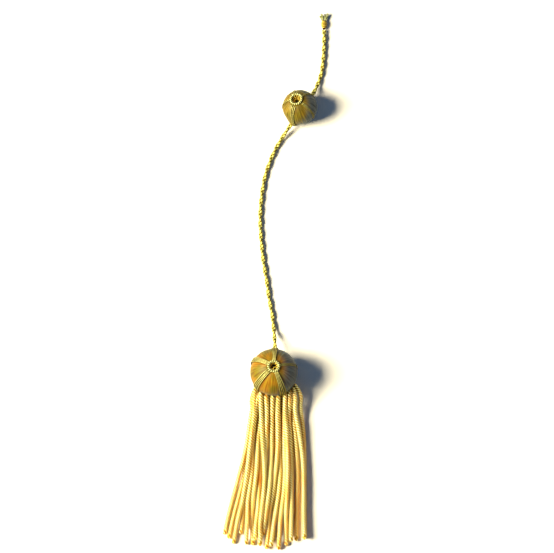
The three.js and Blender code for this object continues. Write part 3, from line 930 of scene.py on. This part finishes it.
@dataclass
class CordEnd:
    """The thread whipping and the frayed ends of the two plies past it.

    Attributes:
        thread: Width of the whipping's thread in millimetres.
        relief: Depth of the grooves between its turns.
        neck: Thickness of the neck under the whipping, in that of the whipping.
        neck_end: Share of the length at which the neck ends.
        rise: Length by which the neck makes the whipping stand farther out.
        rows: Points along the whipping.
        sides: Points round it.
        fibres: Number of fibres in each frayed ply.
        fibre_radius: Radius of a fibre.
        bundle: How far the outermost fibres stand from the middle where they leave the whipping.
        splay: How far they spread from there, in millimetres.
        curl: Strength of the fibres' curl across, along and up.
        seed: Seed of the fibres.
    """

    thread: float = 1.0
    relief: float = 0.26
    neck: float = 0.58
    neck_end: float = 0.14
    rise: float = 1.2
    rows: int = 90
    sides: int = 40
    fibres: int = 26
    fibre_radius: float = 0.13
    bundle: float = 0.45
    splay: float = 1.25
    curl: Triple = (0.28, 0.084, 0.168)
    seed: int = 31

    def whipping(self, finish: Material) -> Piece:
        """The whipping: a short spindle of wound thread.

        It starts with a narrow neck and then swells as a sine's upper half to the power 0.8, less
        the relief in the grooves of the winding.

        Args:
            finish: Its material.

        Returns:
            The piece.
        """
        low, high = box_of("cord_whipping")
        high = high + self.rise * FORWARD
        middle, reach = (low + high) / 2, (high - low) / 2
        part = np.linspace(0, 1, self.rows)
        line = middle + np.outer(2 * part - 1, reach[1] * FORWARD)
        turn = turns(self.sides)[None]
        run = 2 * reach[1] * part[:, None]
        crown = rib(TAU * (run / self.thread + turn))
        # The sine is held from 0.96 on, so that the whipping ends bluntly.
        past_neck = np.clip((part - self.neck_end) / (1 - self.neck_end), 0.001, 0.96)
        swell = self.neck + (1 - self.neck) * np.sin(np.pi * past_neck) ** 0.8
        rounded = dome(np.minimum(part, 1 - part) / 0.06, 0.1)[:, None]
        radius = rounded * (reach[0] * swell[:, None] - self.relief * (1 - crown))
        grid = on_table(tube(line, radius), TABLE_GAP)
        # The neck lies deep between the whipping and the cord, so it is given the groove's dark colour as
        # painted shade.
        crown = crown * (0.2 + 0.8 * ease((part[:, None] - 0.08) / 0.16))
        return make_piece("cord_whipping_wraps", skin(grid, threaded(run, turn, crown)), finish,
                          "cord_whipping")

    def frayed(self, name: str, lean: float, finish: Material) -> Piece:
        """One frayed ply: fine fibres that leave the whipping together and part as they go.

        Fibre = root + along t + (lean + spread) t^1.6 + curl sin(2.4 t), with t from 0 to 1.

        Args:
            name: The frame node that it stands for, and its own name.
            lean: How far the whole ply leans sideways, in millimetres.
            finish: Its material.

        Returns:
            The piece.
        """
        rng = np.random.default_rng(self.seed + len(name))
        low, high = box_of(name)
        # The fibres start 0.9 mm inside the whipping, near its top.
        root = np.array([(low[0] + high[0]) / 2 - 0.5 * lean, low[1] - 0.9 + self.rise, high[2] - 0.75])
        t = np.linspace(0, 1, 12)[:, None]
        surfaces = []
        for _ in range(self.fibres):
            turn, far = rng.uniform(0, TAU), np.sqrt(rng.uniform(0, 1))
            across = np.array([np.cos(turn), 0, np.sin(turn)]) * far
            length = (high[1] - low[1] + 0.5) * rng.uniform(0.6, 1.0)
            curl = rng.normal(size=3) * self.curl
            spread = across * self.splay * rng.uniform(0.5, 1.0) + [lean, 0, 0]
            line = root + self.bundle * across + FORWARD * length * t
            line = on_table(line + spread * t**1.6 + curl * np.sin(2.4 * t), self.fibre_radius + TABLE_GAP)
            surfaces.append(thread_tube(line, self.fibre_radius, sides=5))
        return make_piece(f"{name}_fibres", merged(surfaces), finish, name)

    def build(self, wound: Material, loose: Material) -> list[Piece]:
        """Makes the whipping, of wound thread, and both frayed plies, of loose fibres."""
        return [self.whipping(wound), self.frayed("cord_ply_left", -0.9, loose),
                self.frayed("cord_ply_right", 0.7, loose)]


# ---- wound balls --------------------------------------------------------------------------------


@dataclass
class WoundBall(ABC):
    """A turned mould wound with floss silk, with its eyelet and its bands of gold thread.

    Attributes:
        name: Name of the ball in the frame, head or bead.
        centre: Centre of the ball in millimetres.
        radius: Radius of the ball.
        axis: Direction of its bore.
        bore: Half section of its bore and throat, as distances from the axis and along it.
        lowest: Where the profile ends along the axis.
        eyelet: Middle radius, thread radius and height of the eyelet.
        wraps: Turns of thread round the eyelet.
        star: Number of points of the star that the eyelet's inner edge makes, and their depth.
        pleat: Half section of a thread that dips into the throat, from the eyelet inward.
        pleat_radius: Radius of such a thread.
        seed: Seed of the silk's, the eyelet's and the bands' unevenness.
        wrap_depth: Depth of the grooves between the wraps, in radii of the eyelet's thread.
        relief: Height of the locks of silk at the ball's waist, in millimetres.
        columns: Points round the ball.
        rows: Points from its lip to its lowest point.
        bore_rows: Points from the bottom of the bore to its lip.
    """

    name: str
    centre: Triple
    radius: float
    axis: Triple
    bore: Section
    lowest: float
    eyelet: Triple
    wraps: int
    star: tuple[int, float]
    pleat: Section
    pleat_radius: float
    seed: int
    wrap_depth: float = 0.5
    relief: float = 0.07
    columns: int = 288
    rows: int = 100
    bore_rows: int = 46

    def basis(self) -> tuple[Array, Array, Array]:
        """Directions across and along the bore, square to one another.

        Returns:
            Two directions across the bore and the one along it.
        """
        along = unit(np.array(self.axis))
        across = unit(np.array([1.0, 0, 0]) - along[0] * along)
        return across, np.cross(along, across), along

    def turned(self, profile: Array) -> Array:
        """Turns a half section round the bore.

        Point = centre + h * along + r (cos a * across + sin a * second).

        Args:
            profile: Distances from the axis and along it, one pair a row.

        Returns:
            The grid of points.
        """
        across, second, along = self.basis()
        round_it = circle(TAU * turns(self.columns), across, second)
        return np.array(self.centre) + profile[:, None, 1:] * along + profile[:, None, :1] * round_it[None]

    def profile(self) -> Array:
        """Half section of the ball: a smooth curve up its bore, and a circle R (sin b, cos b) outside.

        Returns:
            Distances from the axis and along it, from the bottom of the bore over its lip to the
            lowest point.
        """
        bore = np.array(self.bore)
        lip = np.arctan2(*bore[-1])
        low = np.arccos(np.clip(self.lowest / self.radius, -1, 1))
        # It stops just short of its end, and the closing fan covers the rest.
        polar = np.linspace(lip, low - 1e-3, self.rows)[1:]
        outside = self.radius * np.stack([np.sin(polar), np.cos(polar)], axis=1)
        return np.vstack([spline(in_space(bore), self.bore_rows)[:, :2], outside])

    def stretch(self, ray: Array) -> Array:
        """How far the surface lies along each ray, in ball radii: 1 for a round ball."""
        return np.ones(ray.shape[:-1])

    def shaped(self, grid: Array) -> Array:
        """Stretches the outside of the round ball to its own shape, and leaves the bore.

        Args:
            grid: Points of the round ball.

        Returns:
            The points, each at its distance from the centre times the stretch of its ray.
        """
        away = grid - np.array(self.centre)
        distance = np.linalg.norm(away, axis=-1)
        factor = np.where(distance > self.radius - 0.05, self.stretch(unit(away)), 1.0)
        return np.array(self.centre) + away * factor[..., None]

    def ball(self, finish: Material) -> Piece:
        """The silk-covered ball: its turned shape, lifted by the locks of silk.

        A point at distance d from the bore's axis moves straight out by relief * (d / R) * locks.

        Args:
            finish: Its material.

        Returns:
            The piece.
        """
        rng = np.random.default_rng(self.seed)
        profile = self.profile()
        grid = self.shaped(self.turned(profile))
        places = turns(self.columns)
        # Fine locks of 30 to 72 a turn lie over broader ones of 8 to 24.
        locks = 0.6 * waves(rng, places, 30, 72) + 0.4 * waves(rng, places, 8, 24)
        lift = self.relief * np.outer(profile[:, 0] / self.radius, locks)
        grid = on_table(grid + lift[..., None] * unit(grid - np.array(self.centre)))
        thread = threaded(self.radius * np.cos(TAU * places)[None], self.radius * np.sin(TAU * places)[None],
                          run_of(in_space(profile))[:, None])
        return make_piece(f"{self.name}_silk", skin(grid, thread), finish, f"{self.name}_ball")

    def ring(self) -> Surface:
        """The eyelet: gold thread wound over a ring.

        Its section's radius falls in the grooves between the wraps, and its inner side is drawn into
        a star, by cos(points * a) where the section faces the bore.

        Returns:
            The ring's surface.
        """
        middle, thick, height = self.eyelet
        rows_a_wrap, sides = 9, 26
        turn = TAU * turns(rows_a_wrap * self.wraps)[:, None]
        round_it = TAU * turns(sides)[None]
        crown = rib(self.wraps * turn + round_it)
        points, depth = self.star
        inward = np.clip(-np.cos(round_it), 0, 1)
        # The ring is a tenth thicker and thinner in 4 to 13 waves a turn.
        uneven = waves(np.random.default_rng(self.seed), turn[:, 0] / TAU, 4, 13)[:, None]
        section = (thick * (1 + 0.1 * uneven - self.wrap_depth * (1 - crown))
                   + depth * inward * np.cos(points * turn))
        across, second, along = self.basis()
        out = circle(turn, across, second)
        # The section goes round from outside over the bottom, so that faces point outward.
        grid = (np.array(self.centre) + out * (middle + section * np.cos(round_it))[..., None]
                + along * (height - section * np.sin(round_it))[..., None])
        thread = threaded(middle * turn, round_it / TAU, crown)
        return skin(grid[:, ::-1], thread[:, ::-1], ring=True)

    def inside(self) -> Surface:
        """The eyelet's threads where they dip into the throat: one for each point of its star.

        Returns:
            The surface of all of them.
        """
        across, second, along = self.basis()
        count = self.star[0]
        knots = np.array(self.pleat)
        surfaces = []
        for out in circle(TAU * (np.arange(count) + 0.5) / count, across, second):
            line = np.array(self.centre) + knots[:, :1] * out + knots[:, 1:] * along
            surfaces.append(thread_tube(spline(line, 24), self.pleat_radius, -out))
        return merged(surfaces)

    def ray_down(self, toward: Array, polar: float) -> Array:
        """Direction from the centre at a polar angle from the bore, leaning toward a direction."""
        along = unit(np.array(self.axis))
        return circle(np.radians(polar), along, unit(toward - toward @ along * along))

    def strands(self, first: Array, last: Array, width: tuple[float, float], count: int,
                radius: float, seed: int) -> Surface:
        """A band: threads laid side by side over the ball.

        The band's middle goes along the great circle m = (sin((1 - t) a) first + sin(t a) last) /
        sin a, where a is the angle between its ends. A thread at distance w from the middle is
        R k (cos(w / R) m + sin(w / R) n), where n is square to the circle and k stretches the ball to
        its own shape. The ends of the threads sink into the silk.

        Args:
            first: Direction of the band's first end from the centre.
            last: Direction of its last end.
            width: Width of the band at its first and last end, in millimetres.
            count: Number of threads.
            radius: Radius of a thread.
            seed: Seed of the threads' small wanders.

        Returns:
            The band's surface.
        """
        rng = np.random.default_rng(self.seed * 100 + seed)
        square = unit(np.cross(first, last))
        rows, wander_knots, wander_spread = 70, 7, 0.07
        part = np.linspace(0, 1, rows)
        total = np.arccos(np.clip(first @ last, -1, 1))
        middle = np.sin((1 - part) * total)[:, None] * first + np.sin(part * total)[:, None] * last
        middle = middle / np.sin(total)
        # The last width is reached at 1 / 1.4 of the way, and each end sinks in over its last 6 %.
        spread = width[0] + (width[1] - width[0]) * ease(part * 1.4)
        sink = 1.4 * radius * (1 - ease(np.minimum(part, 1 - part) / 0.06))
        surfaces = []
        for lane in np.linspace(-0.5, 0.5, count):
            sway = wander(rng, part, 1, wander_knots, wander_spread)
            across = (lane * (spread - 2 * radius) + sway) / self.radius
            reach = self.radius + radius * (0.9 + 0.3 * rng.random()) - sink
            ray = circle(across, middle, square)
            line = np.array(self.centre) + (reach * self.stretch(ray))[:, None] * ray
            surfaces.append(thread_tube(line, radius, ray))
        return merged(surfaces)

    @abstractmethod
    def bands(self) -> list[Surface]:
        """The five bands of gold thread.

        Returns:
            Their surfaces, in the order of their frame nodes.
        """

    def build(self, silk: Material, gilt: Material, wraps: Material, throat: Material) -> list[Piece]:
        """Makes the ball, its eyelet and its bands.

        Args:
            silk: Material of the ball.
            gilt: Material of the bands.
            wraps: Material of the eyelet.
            throat: Material of its threads in the throat.

        Returns:
            The pieces.
        """
        gold = [("eyelet_wraps", self.ring(), wraps, "eyelet"),
                ("throat_threads", self.inside(), throat, "eyelet")]
        gold += [(f"band_{number}_threads", band, gilt, f"band_{number}")
                 for number, band in enumerate(self.bands(), 1)]
        pieces = [self.ball(silk)]
        for name, surface, finish, node in gold:
            pieces.append(make_piece(f"{self.name}_{name}", surface, finish,
                                     f"{self.name}_{node}"))
        return pieces


@dataclass(frozen=True)
class Band:
    """A band of gold thread over the head.

    Attributes:
        azimuth: Direction in which it leaves the eyelet, in degrees.
        last: Angle of its far end from the bore, in degrees.
        width: Its width at the eyelet and at the far end, in millimetres.
        count: Number of threads.
        thread: Radius of a thread.
    """

    azimuth: float
    last: float
    width: tuple[float, float]
    count: int
    thread: float


@dataclass
class HeadBall(WoundBall):
    """The large ball that carries the skirt.

    Attributes:
        band_start: Angle from the bore at which the bands begin, under the eyelet, in degrees.
        band_sizes: The bands: up to the cord, up on the left, down on the left and on the right, and
            the thin one on the right.
    """

    band_start: float = 14.0
    band_sizes: tuple[Band, ...] = (
        Band(87, 107, (2.2, 4.4), 4, 0.4), Band(152, 150, (2.9, 3.9), 4, 0.43),
        Band(222, 106, (3.1, 4.2), 4, 0.43), Band(293, 106, (2.8, 4.4), 4, 0.43),
        Band(12, 150, (1.4, 2.2), 3, 0.2),
    )

    def inside(self) -> Surface:
        """The threads in the throat and the end of one, which hooks over the edge of the bore.

        Returns:
            The surface of all of them.
        """
        knots = np.array([
            (-0.5, -2.3, 15.0), (-0.2, -1.5, 15.1), (0.35, -0.75, 14.9), (1.0, -0.35, 14.6),
            (1.6, -0.6, 14.5), (2.0, -1.3, 14.8)])
        end = thread_tube(spline(knots + np.array(self.centre), 40), 0.27)
        return merged([end, super().inside()])

    def bands(self) -> list[Surface]:
        """The five bands of gold thread, each down its own azimuth.

        Returns:
            Their surfaces.
        """
        laid = []
        for number, band in enumerate(self.band_sizes, 1):
            azimuth = np.radians(band.azimuth)
            toward = np.array([np.cos(azimuth), np.sin(azimuth), 0])
            laid.append(self.strands(
                self.ray_down(toward, self.band_start), self.ray_down(toward, band.last),
                band.width, band.count, band.thread, number))
        return laid


@dataclass
class SlideBead(WoundBall):
    """The small ball that slides on the cord, its silk drawn out to a neck.

    Attributes:
        neck_tip: Tip of the neck in millimetres.
        neck_apex: Distance from the centre at which the neck's sides would meet.
        toward: Direction in which the first band leaves the eyelet, on its way to the neck.
        neck_end: Where the first band ends, from the tip of the neck.
        main_width: Width of that band at the eyelet and at the neck.
        main_thread: Radius of its threads.
        side_width: Width of the other bands at their first and last end.
        side_thread: Radius of their threads.
        polar: Angles from the bore at which the bands begin and the other bands end, in degrees.
        threads: Number of threads in a band.
    """

    neck_tip: Triple = (12.5, 167.0, 5.0)
    neck_apex: float = 14.3
    toward: Triple = (-0.31, -0.951, 0.02)
    neck_end: Triple = (1.9, 0.3, 1.9)
    main_width: tuple[float, float] = (2.9, 1.9)
    main_thread: float = 0.33
    side_width: tuple[float, float] = (1.2, 1.6)
    side_thread: float = 0.18
    polar: tuple[float, float] = (24.0, 128.0)
    threads: int = 3

    def stretch(self, ray: Array) -> Array:
        """Draws the silk out to the neck.

        At an angle b from the neck's direction the distance from the centre becomes
        R / sin(b + b0), which is a cone that just touches the ball, where sin b0 = R / apex.

        Args:
            ray: Directions from the centre.

        Returns:
            The distance of the surface along each, in ball radii.
        """
        toward = np.array(self.neck_tip) - np.array(self.centre)
        angle = np.arccos(np.clip(ray @ unit(toward), -1, 1))
        half = np.arcsin(self.radius / self.neck_apex)
        cone = self.radius / np.sin(np.minimum(angle + half, np.pi / 2))
        # The neck ends in a flat face 0.3 mm past its tip.
        length = np.linalg.norm(toward) + 0.3
        return np.minimum(cone, length / np.maximum(np.cos(angle), 0.3)) / self.radius

    def bands(self) -> list[Surface]:
        """Five bands, a fifth of a turn apart about the bore: the first to the neck, the rest down.

        The first leaves the eyelet towards v, and the others towards v turned about the bore a:
        cos turn * v + sin turn * (a x v) + (1 - cos turn) (a . v) a.

        Returns:
            Their surfaces.
        """
        along, toward = self.basis()[2], np.array(self.toward)
        neck = unit(np.array(self.neck_tip) + self.neck_end - np.array(self.centre))
        first, last = self.polar
        laid = []
        for number in range(5):
            turn = TAU * number / 5
            around = (circle(turn, toward, np.cross(along, toward))
                      + along * (along @ toward) * (1 - np.cos(turn)))
            if number:
                end, width, thread = self.ray_down(around, last), self.side_width, self.side_thread
            else:
                end, width, thread = neck, self.main_width, self.main_thread
            laid.append(self.strands(self.ray_down(around, first), end, width, self.threads, thread, number))
        return laid


# ---- skirt --------------------------------------------------------------------------------------


@dataclass
class SkirtHeading:
    """The wound heading under the head ball that the bullions are sewn to.

    Attributes:
        inner: Radius of its inner side round the ball's axis, in millimetres.
        outer: Radius of its outer side.
        start: First azimuth in degrees.
        end: Last azimuth.
        pitch: Width of a turn of its thread, in millimetres.
        relief: Depth of the grooves between turns, in sizes of the section.
        rounding: Length over which its ends are rounded, in millimetres.
        rows_a_turn: Points along each turn of its thread.
        sides: Points round its section.
    """

    inner: float = 7.8
    outer: float = 10.3
    start: float = 221.0
    end: float = 323.0
    pitch: float = 0.8
    relief: float = 0.12
    rounding: float = 0.8
    rows_a_turn: int = 7
    sides: int = 40

    def build(self, finish: Material) -> Piece:
        """Makes the heading: a flattened section carried round an arc, with wound ribs.

        Point = (r cos turn, r sin turn, z), where r and z are the section's. The section shrinks
        towards its middle in the grooves of the winding, and near its ends by sqrt(distance / rounding).

        Args:
            finish: Its material.

        Returns:
            The piece.
        """
        top = box_of("skirt_heading")[1][2]
        inner, outer = self.inner, self.outer
        # From the inner foot up and over to the outer foot and back under.
        corners = np.array([
            (inner + 0.2, 0.2), (inner + 0.2, 1.2), (inner + 1.0, 1.75), (outer - 0.8, top - 0.7),
            (outer - 0.15, top - 0.35), (outer, 1.7), (outer - 0.15, 0.2), (outer - 1.2, 0.05),
            (inner + 0.9, 0.05), (inner + 0.2, 0.2)])
        section = spline(in_space(corners), self.sides + 1)[:-1, :2]
        middle = section.mean(axis=0)
        length = np.radians(self.end - self.start) * outer
        rows = int(self.rows_a_turn * length / self.pitch)
        turn = np.radians(np.linspace(self.start, self.end, rows))[:, None]
        run = (turn - turn[0]) * outer
        crown = rib(TAU * run / self.pitch)
        ends = np.sqrt(np.clip(np.minimum(run, run[-1] - run) / self.rounding, 0.05, 1))
        shape = middle + (section - middle)[None] * (ends * (1 - self.relief * (1 - crown)))[..., None]
        grid = np.stack([shape[..., 0] * np.cos(turn), shape[..., 0] * np.sin(turn), shape[..., 1]], axis=-1)
        thread = threaded(run, turns(self.sides)[None], crown)
        return make_piece("skirt_heading_wraps", skin(grid[:, ::-1], thread[:, ::-1]), finish,
                          "skirt_heading")


@dataclass
class Bullion:
    """A bullion: a cord twisted tightly from three wound strands, with a turned loop at its foot.

    Attributes:
        radius: Radius over the crowns, in millimetres.
        pitch: Distance between ribs along the bullion.
        strands: Number of strands twisted together.
        lay: Which way the strands climb.
        relief: Depth of the grooves between ribs.
        rings: Number of cross sections of the frame's node.
        tuck: Length for which the top goes on under the head ball.
        shoulder: How far the bullions of the upper rows rise against the ball.
        tip: Length over which the foot is rounded.
        open_from: Distance from the foot at which the twist begins to open.
        eye_place: Distance of the loop's eye from the foot.
        eye_size: Reach of the eye along and round the bullion.
        eye_depth: Depth of the eye.
        sides: Points round the bullion.
        samples: Points along each rib.
    """

    radius: float = 1.43
    pitch: float = 1.7
    strands: int = 3
    lay: Lay = Lay.S_TWIST
    relief: float = 0.5
    rings: int = 16
    tuck: float = 2.6
    shoulder: float = 2.2
    tip: float = 1.7
    open_from: float = 5.0
    eye_place: float = 1.75
    eye_size: float = 0.62
    eye_depth: float = 0.5
    sides: int = 20
    samples: int = 7

    def line(self, node: str, head: WoundBall) -> Array:
        """The bullion's centre line, read from the frame's node and led on under the head ball.

        The node is a tube of regular sections, so the middle of each section's box is a point of
        the line. The top goes on towards the ball's axis along its underside.

        Args:
            node: Name of the frame's node.
            head: The ball that it hangs from.

        Returns:
            The line in millimetres, from under the ball to the foot.
        """
        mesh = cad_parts[node].data
        points = np.zeros(3 * len(mesh.vertices), np.float32)
        mesh.vertices.foreach_get("co", points)
        points = points.reshape(-1, 3).astype(float) / MM
        points = points[np.argsort(-points[:, 1])]
        # Sections are told apart by the widest steps between points in order along the tassel.
        cuts = np.sort(np.argsort(np.diff(points[:, 1]))[:self.rings - 1]) + 1
        rings = np.split(points, cuts)
        knots = np.array([(ring.min(axis=0) + ring.max(axis=0)) / 2 for ring in rings])
        centre = np.array(head.centre)
        knots = self.hung(knots, centre, head.radius)
        start = knots[0]
        outward = unit(start[:2] - centre[:2])
        away = np.linalg.norm(start[:2] - centre[:2])
        reach = np.linalg.norm(start - centre)
        lead = []
        # Both added points lie about as far from the ball's centre as the start, and 1 mm up or more.
        for step in (1.0, 0.5):
            distance = away - step * self.tuck
            sag = np.sqrt(max(reach**2 - distance**2, 0))
            lead.append([*(centre[:2] + outward * distance), max(centre[2] - sag + 0.15, 1.0)])
        return np.vstack([lead, knots])

    def hung(self, knots: Array, centre: Array, ball: float) -> Array:
        """Hangs the top of a bullion straight, with its shoulder out against the ball.

        With n going smoothly from 0 at y = -26 to 1 at y = -16, and back to 0 from y = -13 to y = -9,
        the place across becomes x + 0.8 n (x at y = -25 less x), and bullions of the upper rows rise
        by n times the shoulder. Points nearer to the ball's centre than both radii and 0.1 mm are
        moved straight out.

        Args:
            knots: Centre line read from the frame, from top to foot.
            centre: Centre of the ball.
            ball: Radius of the ball.

        Returns:
            The centre line.
        """
        upper_row = 5.0
        y = knots[:, 1]
        near = ease((y + 26) / 10) * (1 - ease((y + 13) / 4))
        level = np.interp(-25.0, knots[::-1, 1], knots[::-1, 0])
        rise = self.shoulder * near * (knots[0, 2] > upper_row)
        moved = knots + np.column_stack([0.8 * near * (level - knots[:, 0]), np.zeros_like(y), rise])
        away = moved - centre
        distance = np.linalg.norm(away, axis=1, keepdims=True)
        return centre + away * np.maximum(1, (ball + self.radius + 0.1) / distance)

    def surface(self, knots: Array, seed: int) -> Surface:
        """The bullion's surface.

        Its radius is R (1 + unevenness) less the relief in the grooves, whose phase is
        2 pi s / pitch - strands * turn. It is drawn in at the top and rounded at the foot, and near
        the foot the twist opens and the strands part round the loop's eye.

        Args:
            knots: Points of the centre line.
            seed: Seed of the bullion's unevenness.

        Returns:
            The closed surface.
        """
        rng = np.random.default_rng(seed)
        length = run_of(spline(knots, 200))[-1]
        line = spline(knots, int(self.samples * length / self.pitch))
        run = run_of(line)
        to_foot = length - run
        turn = TAU * turns(self.sides)[None]
        opening = 1 - ease(to_foot / self.open_from)
        # The thickness wanders by 2 % and the pitch by 6 %, at 30 and at 18 places along the bullion.
        uneven = wander(rng, run, length, 30, 0.02)
        # As the twist opens, the ribs grow nearly twice as long and the grooves half as deep again.
        pitch = self.pitch * rng.uniform(0.94, 1.06) * (1 + 0.9 * opening)
        pitch = pitch * (1 + wander(rng, run, length, 18, 0.06))
        steps = np.cumsum(np.gradient(run) / pitch)
        phase = TAU * steps[:, None] - self.lay.value * self.strands * turn + rng.uniform(0, TAU)
        crown = rib(phase)
        shape = (0.55 + 0.45 * ease(run / (self.tuck + 0.8))) * dome(to_foot / self.tip, 0.004)
        body = shape * self.radius * (1 + uneven + 0.05 * opening)
        groove = shape * self.relief * (1 + 0.5 * opening)
        eye_turn = np.pi / 2 + rng.normal(0, 0.3)
        round_it = np.angle(np.exp(1j * (turn - eye_turn))) * self.radius
        eye = np.exp(-(((to_foot[:, None] - self.eye_place) ** 2 + round_it**2) / self.eye_size**2))
        radius = body[:, None] - groove[:, None] * (1 - crown) - self.eye_depth * eye
        # The loop's eye takes the groove's dark colour: painted shade in its dent.
        thread = threaded(run[:, None], turn / TAU, crown * (1 - 0.9 * eye))
        return skin(on_table(tube(line, radius)), thread)

    def build(self, node: str, head: WoundBall, finish: Material, seed: int) -> Piece:
        """Makes the bullion that stands for a frame node and hangs from the head."""
        surface = self.surface(self.line(node, head), seed)
        return make_piece(f"{node}_twist", surface, finish, node)


# ---- tassel -------------------------------------------------------------------------------------

HEAD = HeadBall(
    name="head", centre=(0.0, 0.0, 14.7), radius=15.0, axis=(0.0, 0.0, 1.0),
    bore=((0.02, -7.0), (1.6, -7.0), (1.9, -6.6), (1.9, 0.0), (1.9, 10.4), (2.1, 12.3), (3.0, 13.8),
          (4.6, 14.28)),
    lowest=-14.7, eyelet=(3.35, 0.86, 15.15), wraps=17, star=(9, 0.24),
    pleat=((3.1, 15.0), (2.75, 14.75), (2.3, 14.1), (2.05, 13.0), (1.95, 11.5)), pleat_radius=0.42, seed=5,
)
BEAD = SlideBead(
    name="bead", centre=(16.7, 176.2, 10.8), radius=11.0, axis=(-0.221, 0.227, 0.948),
    bore=((0.02, 5.6), (0.9, 5.6), (1.3, 6.0), (1.8, 7.4), (2.6, 8.9), (3.6, 9.6), (4.9, 9.85)),
    lowest=-11.0, eyelet=(3.6, 0.74, 10.85), wraps=19, star=(11, 0.14),
    pleat=((3.3, 10.5), (2.9, 10.1), (2.4, 9.1), (1.9, 8.0), (1.5, 6.9)), pleat_radius=0.38, seed=8,
)
BULLION_COUNT = 23
BULLION_SEED = 400


def main() -> None:
    """Builds the studio and the tassel, and reports each piece."""
    logging.basicConfig(level=logging.INFO, format="%(message)s")
    bpy.context.scene.view_settings.view_transform = "Standard"
    studio = Studio()
    studio.camera()
    laid, wraps, twisted, gimp, whipped, frayed, throat, amber, olive = (finish.material() for finish in (
        BAND_GILT, EYELET_GILT, BULLION_GILT, GIMP_GILT, WHIPPING_GILT, FRAYED_GILT, THROAT_GILT,
        AMBER_SILK, OLIVE_SILK))
    cord = TwoPlyCord()
    cord_piece = cord.build(gimp)
    on_cord = CordEnd().build(whipped, frayed) + BEAD.build(olive, laid, wraps, throat)
    HEAD.build(amber, laid, wraps, throat)
    SkirtHeading().build(laid)
    bullion = Bullion()
    for number in range(1, BULLION_COUNT + 1):
        bullion.build(f"bullion_{number:02d}", HEAD, twisted, BULLION_SEED + number)
    studio.lamp()
    studio.world()
    studio.floor()


if __name__ == "__main__":
    main()
